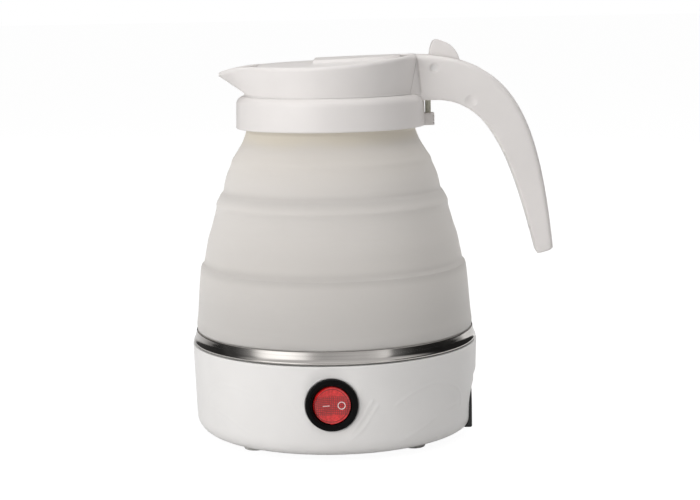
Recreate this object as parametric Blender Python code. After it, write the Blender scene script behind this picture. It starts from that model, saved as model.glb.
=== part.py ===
"""Collapsible electric travel kettle, modelled as its separate pieces.

The kettle's axis is Z, and heights are measured from the underside of its bottom cover. The spout
points along -X, the handle along +X, and the rocker switch is on the front, at -Y. A heated base
carries a three-tier silicone wall. The wall
folds into itself, so the head with its spout, handle and lid sinks straight down onto the base.
All sizes are in metres.
"""

import math

import bmesh
import bpy
from mathutils import Matrix, Vector

# Fits and resolution
FIT = 0.0003
OVERRUN = 0.004
RING_STEPS = 40
SMALL_STEPS = 16
TINY_STEPS = 10

# Base housing: a moulded shell, open at the top for the vessel and below for its cover
BASE_RADIUS = 0.0654
BASE_DRAFT = 0.0009
BASE_TOP = 0.0399
BASE_LIP = 0.0003
BASE_ROUND = 0.0075
BASE_WALL = 0.0025
BASE_EDGE = 0.0007
RIM_WIDTH = 0.0042
RIM_DEPTH = 0.0025

# Bottom cover, its seat in the housing, its screws and the feet
COVER_RIM = 0.0013
COVER_THICKNESS = 0.0025
COVER_STEP = 0.0005
COVER_PANEL_GAP = 0.0095
SEAT_REACH = 0.0022
SEAT_THICKNESS = 0.0020
SCREW_INSET = 0.0079
SCREW_ANGLES = (60.0, 180.0, 300.0)
SCREW_RADIUS = 0.0014
SCREW_HEAD_RADIUS = 0.0029
SCREW_HEAD_HEIGHT = 0.0016
SCREW_LENGTH = 0.0120
SCREW_HEAD_SINK = 0.0009
POST_RADIUS = 0.0040
POST_CAP = 0.0023
POST_RIB = 0.0030
BOSS_HEIGHT = 0.0015
FOOT_INSET = 0.0054
FOOT_ANGLES = (45.0, 135.0, 225.0, 315.0)
FOOT_RADIUS = 0.0052
FOOT_DROP = 0.0029
FOOT_EDGE = 0.0006
FOOT_STEM_RADIUS = 0.0020

# Stainless vessel: a pressed pan whose rim shows as a bright band above the base
BAND_SETBACK = 0.0004
BAND_TAPER = 0.0013
BAND_HEIGHT = 0.0058
STEEL = 0.0010
PAN_INSET = 0.0062
PAN_DEPTH = 0.0068
PAN_ROUND = 0.0030
SEAL_THICKNESS = 0.0004
SEAL_SETBACK = 0.0006

# Ring that presses the silicone against the inside of the band
CLAMP_THICKNESS = 0.0009
CLAMP_FOOT = 0.0012
CLAMP_HEIGHT = 0.0025

# Folding silicone wall: three tiers that slide into each other
SILICONE_WALL = 0.0018
LOWER_SETBACK = 0.0002
LOWER_HEIGHT = 0.0294
LOWER_TAPER = 0.0030
MIDDLE_HEIGHT = 0.0320
MIDDLE_TAPER = 0.0084
UPPER_HEIGHT = 0.0277
FOLD_LIP = 0.0009
NECK_STEP = 0.0007
LOWER_CURVE_SHARES = ((0.0, 0.0), (0.24, 0.26), (0.62, 0.54), (0.83, 0.72), (0.93, 0.84), (1.0, 1.0))
MIDDLE_CURVE_SHARES = ((0.0, 0.0), (0.18, 0.13), (0.35, 0.26), (0.52, 0.46), (0.78, 0.73), (0.87, 0.76),
                       (1.0, 1.0))
UPPER_CURVE_SHARES = ((0.0, 0.0), (0.23, 0.125), (0.43, 0.32), (0.53, 0.40), (0.63, 0.555), (0.82, 0.83),
                      (1.0, 1.0))

# Collar that ties the silicone neck to the head
COLLAR_BORE = 0.0392
COLLAR_WALL = 0.0038
COLLAR_HEIGHT = 0.0147
COLLAR_DRAFT = 0.0003
COLLAR_ROUND = 0.0034
LUG_REACH = 0.0042
LUG_HALF_WIDTH = 0.0040
LUG_HEIGHT = 0.0053
TIE_PIN_RADIUS = 0.0013
TIE_PIN_OFFSET = 0.0017
TIE_PIN_GRIP = 0.0009

# Head: skirt inside the neck, round wall, beak
HEAD_WALL = 0.0027
HEAD_FLARE = 0.0014
HEAD_HEIGHT = 0.0133
HEAD_RIM_EDGE = 0.0012
SKIRT_WALL = 0.0020
SKIRT_RISE = 0.0019
BOWL_STEP = 0.0028
BEAK_LENGTH = 0.0103
BEAK_NOSE_ANGLE = 4.0
RIM_TIP_DROP = 0.0025
RIM_TIP_LENGTH = 0.0160
RIM_RISE_OFFSET = 0.0080
RIM_RISE = 0.0039
RIM_RISE_POWER = 1.6

# Handle: outer and inner edges in the XZ plane, as cubic curves from the head to the tip
ROOT_BITE = 0.0013
ROOT_DEPTH = 0.0198
HANDLE_LIFT = 0.0031
HANDLE_CREST = 0.0007
HANDLE_DROP = 0.0873
HANDLE_SPAN = 0.0617
GRIP_START = 0.0067
TIP_THICKNESS = 0.0077
TIP_SLANT = 0.0021
OUTER_CURVE_SHARES = ((0.685, 0.008), (0.892, 0.266))
INNER_CURVE_SHARES = ((0.565, -0.024), (0.780, 0.408))
PAIRING_SHARE = 0.45
HANDLE_SECTIONS = 16
HANDLE_HALF_WIDTH = 0.0100
TIP_HALF_WIDTH = 0.0072
HANDLE_OUTER_ROUND = 0.0024
HANDLE_INNER_ROUND = 0.0010
TIP_ROUND = 0.0012
GUSSET_REACH = 0.0030
GUSSET_WIDTH = 0.0024
CHANNEL_START_SHARE = 0.34
CHANNEL_END_SHARE = 0.94
HANDLE_BACK_WALL = 0.0030
HANDLE_SIDE_WALL = 0.0024
GRIP_COVER_THICKNESS = 0.0020
DIMPLE_OFFSET = 0.0260
DIMPLE_DROP = 0.0205
DIMPLE_RADIUS = 0.0035
DIMPLE_DEPTH = 0.0005
DIMPLE_SHARE = 0.25

# Lid with its arm and thumb lever, hinged on a pin between the handle's cheeks
HINGE_OFFSET = 0.0096
HINGE_DROP = 0.0053
HINGE_PIN_RADIUS = 0.0015
HINGE_EYE_RADIUS = 0.0022
HINGE_EYE_DEPTH = 0.0006
SLOT_HALF_WIDTH = 0.0065
ARM_GAP = 0.0005
LID_GAP = 0.0011
LID_SINK = 0.0010
LID_UNDER = 0.0021
LID_FRONT_CUT = 0.0125
LID_BACK_CUT = 0.0041
LID_EDGE = 0.0008
LID_CROWN_FRONT = 0.0016
LID_CROWN_BACK = 0.0028
LID_FACE_SHARES = (1.0, 0.7, 0.35)
LID_PANEL_OFFSET = 0.0070
LID_PANEL_RISE = 0.0012
LID_PANEL_SHARE = 0.55
LID_SHELL = 0.0020
LID_SECTIONS = 10
LEVER_RADIUS = 0.0120
LEVER_PEAK = 0.0006
LEVER_FOOT_ANGLE = 118.0
LEVER_FACE_ANGLE = 97.0
LEVER_BROW_ANGLE = 90.0
LEVER_PEAK_ANGLE = 83.0
LEVER_CREST_ANGLE = 72.0
LEVER_BACK_ANGLE = 10.0
LEVER_UNDER_ANGLE = -160.0
LEVER_GAP = 0.0009
LEVER_HUB_RADIUS = 0.0050
LEVER_CORNER = 0.0016
POCKET_BITE = 0.0034
POCKET_BACK_ANGLE = 60.0

# Round rocker switch on the front of the base
SWITCH_DROP = 0.0166
SWITCH_SETBACK = 0.0011
BEZEL_WIDTH = 0.0015
BEZEL_THICKNESS = 0.0022
BEZEL_EDGE = 0.0006
SWITCH_BODY_RADIUS = 0.0099
SWITCH_BODY_LENGTH = 0.0187
ROCKER_WELL_RADIUS = 0.0085
ROCKER_WELL_DEPTH = 0.0074
ROCKER_PIVOT_DEPTH = 0.0025
ROCKER_FRONT = 0.0030
ROCKER_BACK = 0.0028
ROCKER_TILT_ANGLE = 8.0
TRUNNION_RADIUS = 0.0010
TRUNNION_REACH = 0.0006
BLADE_THICKNESS = 0.0008
BLADE_WIDTH = 0.0063
BLADE_LENGTH = 0.0080
BLADE_SPACING = 0.0055

# Appliance inlet on the handle side of the base
INLET_SETBACK = 0.0023
INLET_HALF_WIDTH = 0.0218
INLET_RISE = 0.0017
INLET_HEIGHT = 0.0218
INLET_TOP_ROUND = 0.0125
INLET_BROW = 0.0030
INLET_NOSE = 0.0040
INLET_CHEEK = 0.0045
INLET_SOLE = 0.0037
INLET_DEPTH = 0.0185
INLET_SOCKET_HALF_WIDTH = 0.0140
INLET_SOCKET_HALF_HEIGHT = 0.0058
INLET_SOCKET_ROUND = 0.0022
INLET_SOCKET_DEPTH = 0.0148
INLET_EAR_REACH = 0.0093
INLET_EAR_HALF_HEIGHT = 0.0036
INLET_PLATE_THICKNESS = 0.0025
INLET_PLATE_SETBACK = 0.0078
INLET_FLAT_STEP = 0.0010
INLET_FLAT_RISE = 0.0015
INLET_BOSS_INSET = 0.0023
INLET_BOSS_RADIUS = 0.0030
PIN_RADIUS = 0.0017
PIN_SPACING = 0.0090
PIN_SETBACK = 0.0055
PIN_TAIL = 0.0065
INLET_SCREW_RADIUS = 0.0011
INLET_SCREW_HEAD = 0.0022
INLET_SCREW_HEAD_HEIGHT = 0.0014
INLET_SCREW_LENGTH = 0.0050

# Heater under the pan
SPREADER_INSET = 0.0188
SPREADER_THICKNESS = 0.0030
ELEMENT_INSET = 0.0100
ELEMENT_RADIUS = 0.0032
ELEMENT_GAP_ANGLE = 40.0
ELEMENT_DROP = 0.0085
ELEMENT_STEPS = 26
THERMOSTAT_RADIUS = 0.0120
THERMOSTAT_HEIGHT = 0.0100
THERMOSTAT_FLANGE = 0.0030
THERMOSTAT_FLANGE_THICKNESS = 0.0015
THERMOSTAT_BLADE_INSET = 0.0040
THERMOSTAT_BLADE_LENGTH = 0.0035
FUSE_RADIUS = 0.0022
FUSE_HALF_LENGTH = 0.0060
FUSE_OFFSET = 0.0080
FUSE_LEAD_SHARE = 0.35
EARTH_TAB_OFFSET = 0.0080
EARTH_TAB_LENGTH = 0.0060

# Wiring inside the base
WIRE_RADIUS = 0.0012
WIRE_RISE = 0.0061
WIRE_SPAN_STEPS = 2

# Heights and radii of the base that follow from the sizes above
BASE_WAIST_RADIUS = BASE_RADIUS - BASE_DRAFT
BASE_BOTTOM = -BASE_LIP
COVER_BOTTOM = BASE_BOTTOM + BASE_LIP
COVER_TOP = COVER_BOTTOM + COVER_THICKNESS
COVER_RADIUS = BASE_WAIST_RADIUS - BASE_ROUND - COVER_RIM - FIT
SEAT_BOTTOM = COVER_TOP + FIT
SEAT_TOP = SEAT_BOTTOM + SEAT_THICKNESS
RIM_BORE = BASE_RADIUS - RIM_WIDTH
SCREW_CIRCLE = COVER_RADIUS - SCREW_INSET
COVER_PANEL_RADIUS = SCREW_CIRCLE - POST_RADIUS - COVER_PANEL_GAP
COVER_RING_BOTTOM = COVER_BOTTOM + COVER_STEP
SCREW_HEAD_BOTTOM = COVER_BOTTOM + SCREW_HEAD_SINK
SCREW_TIP = SCREW_HEAD_BOTTOM + SCREW_HEAD_HEIGHT + SCREW_LENGTH
POST_BOTTOM = COVER_TOP + BOSS_HEIGHT + FIT
POST_TOP = SCREW_TIP + FIT + POST_CAP
FOOT_CIRCLE = COVER_RADIUS - FOOT_INSET

# Vessel and silicone
BAND_FOOT_RADIUS = BASE_RADIUS - BAND_SETBACK
BAND_TOP_RADIUS = BAND_FOOT_RADIUS - BAND_TAPER
LEDGE_BOTTOM = BASE_TOP + SEAL_THICKNESS + 2 * FIT
LEDGE_TOP = LEDGE_BOTTOM + STEEL
BAND_TOP = LEDGE_BOTTOM + BAND_HEIGHT
PAN_RADIUS = BAND_FOOT_RADIUS - PAN_INSET
PAN_FLOOR = LEDGE_BOTTOM - PAN_DEPTH
SILICONE_FOOT = LEDGE_TOP + FIT
SILICONE_FOOT_BORE = BAND_TOP_RADIUS - STEEL - LOWER_SETBACK - SILICONE_WALL + FIT
LOWER_FOOT_RADIUS = BAND_TOP_RADIUS - LOWER_SETBACK
LOWER_TOP_RADIUS = LOWER_FOOT_RADIUS - LOWER_TAPER
LOWER_BORE = LOWER_TOP_RADIUS - FOLD_LIP
LOWER_TOP = BAND_TOP + LOWER_HEIGHT
MIDDLE_BOTTOM = LOWER_TOP + FIT
MIDDLE_FOOT_RADIUS = LOWER_BORE - FIT
MIDDLE_TOP_RADIUS = MIDDLE_FOOT_RADIUS - MIDDLE_TAPER
MIDDLE_BORE = MIDDLE_TOP_RADIUS - FOLD_LIP
MIDDLE_TOP = MIDDLE_BOTTOM + MIDDLE_HEIGHT
UPPER_BOTTOM = MIDDLE_TOP + FIT
UPPER_FOOT_RADIUS = MIDDLE_BORE - FIT
NECK_FOOT = UPPER_BOTTOM + UPPER_HEIGHT
NECK_RADIUS = COLLAR_BORE - NECK_STEP
COLLAPSE_TRAVEL = 2 * MIDDLE_HEIGHT

# Collar, head, handle and lid
COLLAR_RADIUS = COLLAR_BORE + COLLAR_WALL
COLLAR_BOTTOM = NECK_FOOT + SILICONE_WALL
COLLAR_TOP = COLLAR_BOTTOM + COLLAR_HEIGHT
NECK_BORE = COLLAR_BORE - FIT - SILICONE_WALL
NECK_TOP = COLLAR_TOP - FIT
SKIRT_RADIUS = NECK_BORE - FIT
SKIRT_BOTTOM = COLLAR_BOTTOM + SKIRT_RISE
HEAD_FOOT = COLLAR_TOP
HEAD_FOOT_RADIUS = COLLAR_BORE - FIT
HEAD_RIM_RADIUS = HEAD_FOOT_RADIUS + HEAD_FLARE
RIM_LEVEL = HEAD_FOOT + HEAD_HEIGHT
BEAK_REACH = HEAD_RIM_RADIUS + BEAK_LENGTH
RIM_TIP_START = RIM_TIP_LENGTH - BEAK_REACH
RIM_RISE_START = -RIM_RISE_OFFSET
HANDLE_ROOT = HEAD_FOOT_RADIUS - ROOT_BITE
HANDLE_TOP = RIM_LEVEL + HANDLE_LIFT
HANDLE_TIP = HANDLE_TOP - HANDLE_DROP
HANDLE_REACH = HEAD_FOOT_RADIUS + HANDLE_SPAN
GRIP_ROOT = HEAD_FOOT_RADIUS + GRIP_START
GRIP_TOP = HANDLE_TOP - ROOT_DEPTH
GRIP_TIP = HANDLE_TIP - TIP_SLANT
GRIP_REACH = HANDLE_REACH - TIP_THICKNESS
DIMPLE_PLACE = HANDLE_ROOT + DIMPLE_OFFSET
DIMPLE_HEIGHT = HANDLE_TOP - DIMPLE_DROP
HINGE_X = HANDLE_ROOT + HINGE_OFFSET
HINGE_Z = HANDLE_TOP - HINGE_DROP
ARM_HALF_WIDTH = SLOT_HALF_WIDTH - ARM_GAP
LID_RADIUS = HEAD_RIM_RADIUS - HEAD_WALL - LID_GAP
LID_FRONT = LID_FRONT_CUT - LID_RADIUS
LID_BACK = LID_RADIUS - LID_BACK_CUT
LID_BOTTOM = HINGE_Z - LID_UNDER
SLOT_FLOOR = LID_BOTTOM - FIT
POCKET_RADIUS = LEVER_RADIUS + LEVER_GAP
POCKET_LEFT = HANDLE_ROOT + POCKET_BITE
POCKET_TOP = HINGE_Z + 2 * POCKET_RADIUS

# Switch, inlet and heater
SWITCH_HEIGHT = BASE_TOP - SWITCH_DROP
SWITCH_FLAT = BASE_WAIST_RADIUS - SWITCH_SETBACK
BEZEL_RADIUS = SWITCH_BODY_RADIUS + BEZEL_WIDTH
BEZEL_BACK = SWITCH_FLAT + FIT
BEZEL_FRONT = BEZEL_BACK + BEZEL_THICKNESS
ROCKER_RADIUS = ROCKER_WELL_RADIUS - FIT
ROCKER_PIVOT = BEZEL_FRONT - ROCKER_PIVOT_DEPTH
TRUNNION_TIP = ROCKER_WELL_RADIUS + TRUNNION_REACH
INLET_FACE = BASE_WAIST_RADIUS - INLET_SETBACK
INLET_FLAT = INLET_FACE + INLET_FLAT_STEP
INLET_BOTTOM = COVER_BOTTOM + INLET_RISE
INLET_TOP = INLET_BOTTOM + INLET_HEIGHT
INLET_FLAT_TOP = INLET_TOP + INLET_FLAT_RISE
INLET_BODY_BOTTOM = INLET_BOTTOM + INLET_SOLE
INLET_BODY_TOP = INLET_TOP - INLET_BROW
INLET_BODY_HALF_WIDTH = INLET_HALF_WIDTH - INLET_CHEEK
INLET_EAR_HALF_WIDTH = INLET_BODY_HALF_WIDTH + INLET_EAR_REACH
INLET_BOSS_PLACE = INLET_EAR_HALF_WIDTH - INLET_BOSS_INSET
INLET_CENTRE = (INLET_BODY_BOTTOM + INLET_BODY_TOP) / 2 - FIT
SPREADER_RADIUS = PAN_RADIUS - SPREADER_INSET
SPREADER_TOP = PAN_FLOOR - FIT
SPREADER_BOTTOM = SPREADER_TOP - SPREADER_THICKNESS
HEATER_TOP = SPREADER_BOTTOM - FIT
ELEMENT_CIRCLE = SPREADER_RADIUS - ELEMENT_INSET
THERMOSTAT_BLADE_PLACE = THERMOSTAT_RADIUS - THERMOSTAT_BLADE_INSET
FUSE_PLACE = THERMOSTAT_RADIUS + FUSE_OFFSET
EARTH_TAB_PLACE = THERMOSTAT_RADIUS + EARTH_TAB_OFFSET
WIRE_LEVEL = COVER_TOP + WIRE_RISE


# Materials


def material(name, colour, roughness, metallic=0.0, transmission=0.0):
    made = bpy.data.materials.new(name)
    made.use_nodes = True
    shader = made.node_tree.nodes["Principled BSDF"]
    shader.inputs["Base Color"].default_value = (*colour, 1.0)
    shader.inputs["Roughness"].default_value = roughness
    shader.inputs["Metallic"].default_value = metallic
    shader.inputs["Transmission Weight"].default_value = transmission
    return made


def make_materials():
    return {
        "white": material("white_plastic", (0.80, 0.79, 0.77), 0.38),
        "silicone": material("silicone", (0.66, 0.63, 0.60), 0.55, transmission=0.1),
        "steel": material("brushed_steel", (0.62, 0.60, 0.57), 0.28, 1.0),
        "black": material("black_plastic", (0.02, 0.02, 0.02), 0.25),
        "red": material("red_rocker", (0.75, 0.03, 0.02), 0.25),
        "rubber": material("grey_rubber", (0.55, 0.54, 0.52), 0.80),
        "seal": material("dark_seal", (0.06, 0.06, 0.06), 0.70),
        "brass": material("brass", (0.75, 0.58, 0.28), 0.35, 1.0),
        "aluminium": material("aluminium", (0.72, 0.72, 0.72), 0.45, 1.0),
        "phenolic": material("phenolic", (0.14, 0.11, 0.09), 0.50),
        "zinc": material("zinc_screw", (0.60, 0.60, 0.58), 0.40, 1.0),
        "wire_blue": material("wire_blue", (0.05, 0.15, 0.55), 0.50),
        "wire_brown": material("wire_brown", (0.22, 0.09, 0.03), 0.50),
        "wire_green": material("wire_green", (0.25, 0.50, 0.06), 0.50),
    }


# Small geometry helpers


def mix(start, end, share):
    return start + (end - start) * share


def arc(centre, radius, start, end, steps):
    """Points on an arc between two angles in degrees, both ends included."""
    points = []
    for index in range(steps + 1):
        angle = math.radians(mix(start, end, index / steps))
        points.append((centre[0] + radius * math.cos(angle), centre[1] + radius * math.sin(angle)))
    return points


def polar(radius, degrees, height=0.0):
    angle = math.radians(degrees)
    return Vector((radius * math.cos(angle), radius * math.sin(angle), height))


def cubic(points, share):
    """A point on the cubic curve through four control points in the XZ plane."""
    rest = 1.0 - share
    weights = (rest ** 3, 3 * rest ** 2 * share, 3 * rest * share ** 2, share ** 3)
    return tuple(sum(weight * point[axis] for weight, point in zip(weights, points)) for axis in (0, 1))


def smooth_path(points, steps):
    """Points on a smooth curve through the given ones, whose first and last spans stay straight."""
    path = [points[0]]
    for index in range(len(points) - 3):
        before, start, end, after = points[index:index + 4]
        for step in range(steps):
            t = step / steps
            path.append(0.5 * (2 * start + (end - before) * t
                               + (2 * before - 5 * start + 4 * end - after) * t ** 2
                               + (3 * start - before - 3 * end + after) * t ** 3))
    return path + points[-2:]


# Object helpers


def clear_scene():
    for existing in list(bpy.context.scene.objects):
        bpy.data.objects.remove(existing, do_unlink=True)


def add_object(name, shape, finish=None, origin=(0.0, 0.0, 0.0), parent=None):
    """Turn a bmesh in world coordinates into an object whose origin is at the given point."""
    bmesh.ops.recalc_face_normals(shape, faces=shape.faces)
    origin = Vector(origin)
    bmesh.ops.translate(shape, vec=-origin, verts=shape.verts)
    mesh = bpy.data.meshes.new(name)
    shape.to_mesh(mesh)
    shape.free()
    mesh.shade_smooth()
    mesh.set_sharp_from_angle(angle=math.radians(32))
    made = bpy.data.objects.new(name, mesh)
    bpy.context.scene.collection.objects.link(made)
    if finish:
        mesh.materials.append(finish)
    made.parent = parent
    made.location = origin - place_of(parent)
    return made


def add_copies(name, shape, finish, places):
    """The same piece at several places: one object each, all sharing one mesh."""
    first = add_object(f"{name}_1", shape, finish)
    first.location = places[0]
    for index, place in enumerate(places[1:], start=2):
        made = bpy.data.objects.new(f"{name}_{index}", first.data)
        made.location = place
        bpy.context.scene.collection.objects.link(made)


def add_axis(name, place, parent=None):
    empty = bpy.data.objects.new(name, None)
    empty.parent = parent
    empty.location = Vector(place) - place_of(parent)
    bpy.context.scene.collection.objects.link(empty)
    return empty


def place_of(thing):
    """World position of an object whose parents are unturned."""
    place = Vector((0.0, 0.0, 0.0))
    while thing:
        place += thing.location
        thing = thing.parent
    return place


def boolean(target, operand, operation):
    """Cut or join with a hidden operand, kept as a live modifier."""
    operand.hide_render = True
    operand.display_type = "WIRE"
    step = target.modifiers.new(operand.name, "BOOLEAN")
    step.operation = operation
    step.solver = "EXACT"
    step.object = operand
    return target


def cut(target, *operands):
    for operand in operands:
        boolean(target, operand, "DIFFERENCE")


def fuse(target, *operands):
    for operand in operands:
        boolean(target, operand, "UNION")


def turned(profile, steps=RING_STEPS, centre=(0.0, 0.0, 0.0), shape=None):
    """Spin a closed outline of radius and height about a vertical axis."""
    shape = shape or bmesh.new()
    centre = Vector(centre)
    corners = [shape.verts.new(centre + Vector((radius, 0.0, height))) for radius, height in profile]
    edges = []
    for first, second in zip(corners, corners[1:] + corners[:1]):
        on_axis = first.co.x == centre.x and second.co.x == centre.x
        if not on_axis:
            edges.append(shape.edges.new((first, second)))
    bmesh.ops.spin(shape, geom=corners + edges, cent=centre, axis=(0.0, 0.0, 1.0),
                   angle=math.tau, steps=steps, use_merge=True)
    axis_corners = [vert for vert in shape.verts if (vert.co - centre).xy.length < FIT / 100]
    bmesh.ops.remove_doubles(shape, verts=axis_corners, dist=FIT / 100)
    shape.normal_update()
    for vert in [vert for vert in shape.verts if (vert.co - centre).xy.length < FIT / 100]:
        flat = all(abs(face.normal.z) > 0.999 for face in vert.link_faces)
        if flat:
            bmesh.ops.dissolve_verts(shape, verts=[vert])
    return shape


def prism(outline, low, high, frame):
    """Extrude a flat outline between two distances along the third axis of a 3 by 3 frame."""
    shape = bmesh.new()
    across, up, along = (Vector(axis) for axis in frame)
    ring = [shape.verts.new(across * u + up * v + along * low) for u, v in outline]
    face = shape.faces.new(ring)
    grown = bmesh.ops.extrude_face_region(shape, geom=[face])
    top = [item for item in grown["geom"] if isinstance(item, bmesh.types.BMVert)]
    bmesh.ops.translate(shape, vec=along * (high - low), verts=top)
    return shape


ALONG_X = ((0.0, 1.0, 0.0), (0.0, 0.0, 1.0), (1.0, 0.0, 0.0))
ALONG_Y = ((1.0, 0.0, 0.0), (0.0, 0.0, 1.0), (0.0, 1.0, 0.0))
ALONG_Z = ((1.0, 0.0, 0.0), (0.0, 1.0, 0.0), (0.0, 0.0, 1.0))


def circle(centre, radius, steps=SMALL_STEPS):
    return arc(centre, radius, 0.0, 360.0 - 360.0 / steps, steps - 1)


def rectangle(low, high, left, right):
    return [(left, low), (right, low), (right, high), (left, high)]


def rounded(left, right, low, high, radius, steps=3):
    points = arc((right - radius, low + radius), radius, -90.0, 0.0, steps)
    points += arc((right - radius, high - radius), radius, 0.0, 90.0, steps)
    points += arc((left + radius, high - radius), radius, 90.0, 180.0, steps)
    points += arc((left + radius, low + radius), radius, 180.0, 270.0, steps)
    return points


def loft(sections):
    """Skin rings of equal count in order, and close both ends."""
    shape = bmesh.new()
    rings = [[shape.verts.new(point) for point in section] for section in sections]
    for first, second in zip(rings, rings[1:]):
        for index in range(len(first)):
            after = (index + 1) % len(first)
            shape.faces.new((first[index], first[after], second[after], second[index]))
    shape.faces.new(rings[0])
    shape.faces.new(list(reversed(rings[-1])))
    return shape


def closed_loft(sections):
    """Skin rings of equal count in order, and join the last to the first."""
    shape = bmesh.new()
    rings = [[shape.verts.new(point) for point in section] for section in sections]
    for first, second in zip(rings, rings[1:] + rings[:1]):
        for index in range(len(first)):
            after = (index + 1) % len(first)
            shape.faces.new((first[index], first[after], second[after], second[index]))
    return shape


def tube(name, points, radius, finish, resolution):
    """A round bar along a list of points, with flat ends."""
    curve = bpy.data.curves.new(name, "CURVE")
    curve.dimensions = "3D"
    curve.bevel_depth = radius
    curve.bevel_resolution = resolution
    curve.use_fill_caps = True
    spline = curve.splines.new("POLY")
    spline.points.add(len(points) - 1)
    for target, point in zip(spline.points, points):
        target.co = (*point, 1.0)
    made = bpy.data.objects.new(name, curve)
    bpy.context.scene.collection.objects.link(made)
    curve.materials.append(finish)
    return made


# Base


def base_profile():
    outer = arc((BASE_WAIST_RADIUS - BASE_ROUND, BASE_BOTTOM + BASE_ROUND), BASE_ROUND, -90.0, 0.0, 4)
    outer += [
        (BASE_RADIUS, BASE_TOP - BASE_EDGE),
        (BASE_RADIUS - BASE_EDGE, BASE_TOP),
    ]
    inner = [
        (RIM_BORE, BASE_TOP),
        (RIM_BORE, BASE_TOP - RIM_DEPTH),
        (BASE_RADIUS - BASE_WALL, BASE_TOP - RIM_DEPTH - BASE_WALL),
        (BASE_WAIST_RADIUS - BASE_WALL, BASE_BOTTOM + BASE_ROUND + BASE_WALL),
        (BASE_WAIST_RADIUS - BASE_ROUND + BASE_EDGE, SEAT_TOP),
        (COVER_RADIUS + FIT - SEAT_REACH, SEAT_TOP),
        (COVER_RADIUS + FIT - SEAT_REACH, SEAT_BOTTOM),
        (COVER_RADIUS + FIT, SEAT_BOTTOM),
        (COVER_RADIUS + FIT, BASE_BOTTOM),
    ]
    return outer + inner


def screw_post(index, degrees):
    """A screw post with the rib that ties it to the housing's wall."""
    place = polar(SCREW_CIRCLE, degrees)
    post = turned([(0.0, POST_BOTTOM), (POST_RADIUS, POST_BOTTOM), (POST_RADIUS, POST_TOP), (0.0, POST_TOP)],
                  SMALL_STEPS, place)
    post_object = add_object(f"post_{index}", post)
    wall_middle = BASE_WAIST_RADIUS - BASE_WALL / 2
    rib = prism(rectangle(-POST_RIB / 2, POST_RIB / 2, SCREW_CIRCLE, wall_middle),
                POST_BOTTOM, POST_TOP - POST_RIB / 2, ALONG_Z)
    bmesh.ops.rotate(rib, verts=rib.verts, matrix=Matrix.Rotation(math.radians(degrees), 3, "Z"))
    rib_object = add_object(f"post_rib_{index}", rib)
    return post_object, rib_object


def screw_hole(name, degrees, radius, low, high):
    place = polar(SCREW_CIRCLE, degrees)
    shape = turned([(0.0, low), (radius, low), (radius, high), (0.0, high)], TINY_STEPS, place)
    return add_object(name, shape)


def inlet_outline(grow=0.0):
    """The inlet's front outline in YZ: a flat foot and two large round shoulders."""
    side = INLET_HALF_WIDTH + grow
    low = INLET_BOTTOM - grow
    high = INLET_TOP + grow
    radius = INLET_TOP_ROUND + grow
    points = [(-side, low), (side, low)]
    points += arc((side - radius, high - radius), radius, 0.0, 90.0, 5)
    points += arc((radius - side, high - radius), radius, 90.0, 180.0, 5)
    return points


def inlet_body_outline(grow=0.0):
    return rounded(-INLET_BODY_HALF_WIDTH - grow, INLET_BODY_HALF_WIDTH + grow, INLET_BODY_BOTTOM - grow,
                   INLET_BODY_TOP + grow, INLET_SOCKET_ROUND + grow, 2)


def base_cutters():
    flat = turned([(0.0, SWITCH_FLAT), (BEZEL_RADIUS + FIT, SWITCH_FLAT),
                   (BEZEL_RADIUS + FIT, SWITCH_FLAT + OVERRUN), (0.0, SWITCH_FLAT + OVERRUN)], 32)
    hole = turned([(0.0, SWITCH_FLAT - 2 * OVERRUN), (SWITCH_BODY_RADIUS + FIT, SWITCH_FLAT - 2 * OVERRUN),
                   (SWITCH_BODY_RADIUS + FIT, SWITCH_FLAT + OVERRUN), (0.0, SWITCH_FLAT + OVERRUN)], 32)
    for shape in (flat, hole):
        face_front(shape)
    opening = prism(inlet_outline(FIT), INLET_FACE - INLET_NOSE - FIT, BASE_RADIUS + OVERRUN, ALONG_X)
    slope = BASE_RADIUS + OVERRUN - INLET_FLAT
    facet = prism([(INLET_FLAT, -OVERRUN), (INLET_FLAT, INLET_FLAT_TOP),
                   (INLET_FLAT + slope, INLET_FLAT_TOP + slope), (INLET_FLAT + slope, -OVERRUN)],
                  -INLET_HALF_WIDTH, INLET_HALF_WIDTH, ALONG_Y)
    room = prism(inlet_body_outline(FIT), INLET_FACE - INLET_DEPTH, INLET_FACE, ALONG_X)
    return [add_object("switch_flat", flat), add_object("switch_hole", hole), add_object("inlet_facet", facet),
            add_object("inlet_opening", opening), add_object("inlet_room", room)]


def face_front(shape):
    """Lay a piece turned about Z on its side, so its axis runs out of the front at switch height."""
    turn = Matrix.Rotation(math.radians(90), 4, "X")
    bmesh.ops.transform(shape, matrix=Matrix.Translation((0.0, 0.0, SWITCH_HEIGHT)) @ turn, verts=shape.verts)


def inlet_bosses():
    plate_front = INLET_FACE - INLET_PLATE_SETBACK
    bosses = []
    for side in (-1, 1):
        outline = circle((side * INLET_BOSS_PLACE, INLET_CENTRE), INLET_BOSS_RADIUS, TINY_STEPS)
        boss = prism(outline, plate_front + FIT, boss_root(), ALONG_X)
        bosses.append(add_object(f"inlet_boss_{side}", boss))
    return bosses


def boss_root():
    """How far out a boss reaches to end inside the housing's wall."""
    wall_middle = BASE_WAIST_RADIUS - BASE_WALL / 2
    return math.sqrt(wall_middle ** 2 - INLET_BOSS_PLACE ** 2)


def inlet_screw_holes():
    holes = []
    for side in (-1, 1):
        outline = circle((side * INLET_BOSS_PLACE, INLET_CENTRE), INLET_SCREW_RADIUS + FIT, TINY_STEPS)
        front = INLET_FACE - INLET_PLATE_SETBACK
        shape = prism(outline, front - OVERRUN,
                      front + INLET_SCREW_LENGTH - INLET_PLATE_THICKNESS + FIT, ALONG_X)
        holes.append(add_object(f"inlet_screw_hole_{side}", shape))
    return holes


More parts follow.
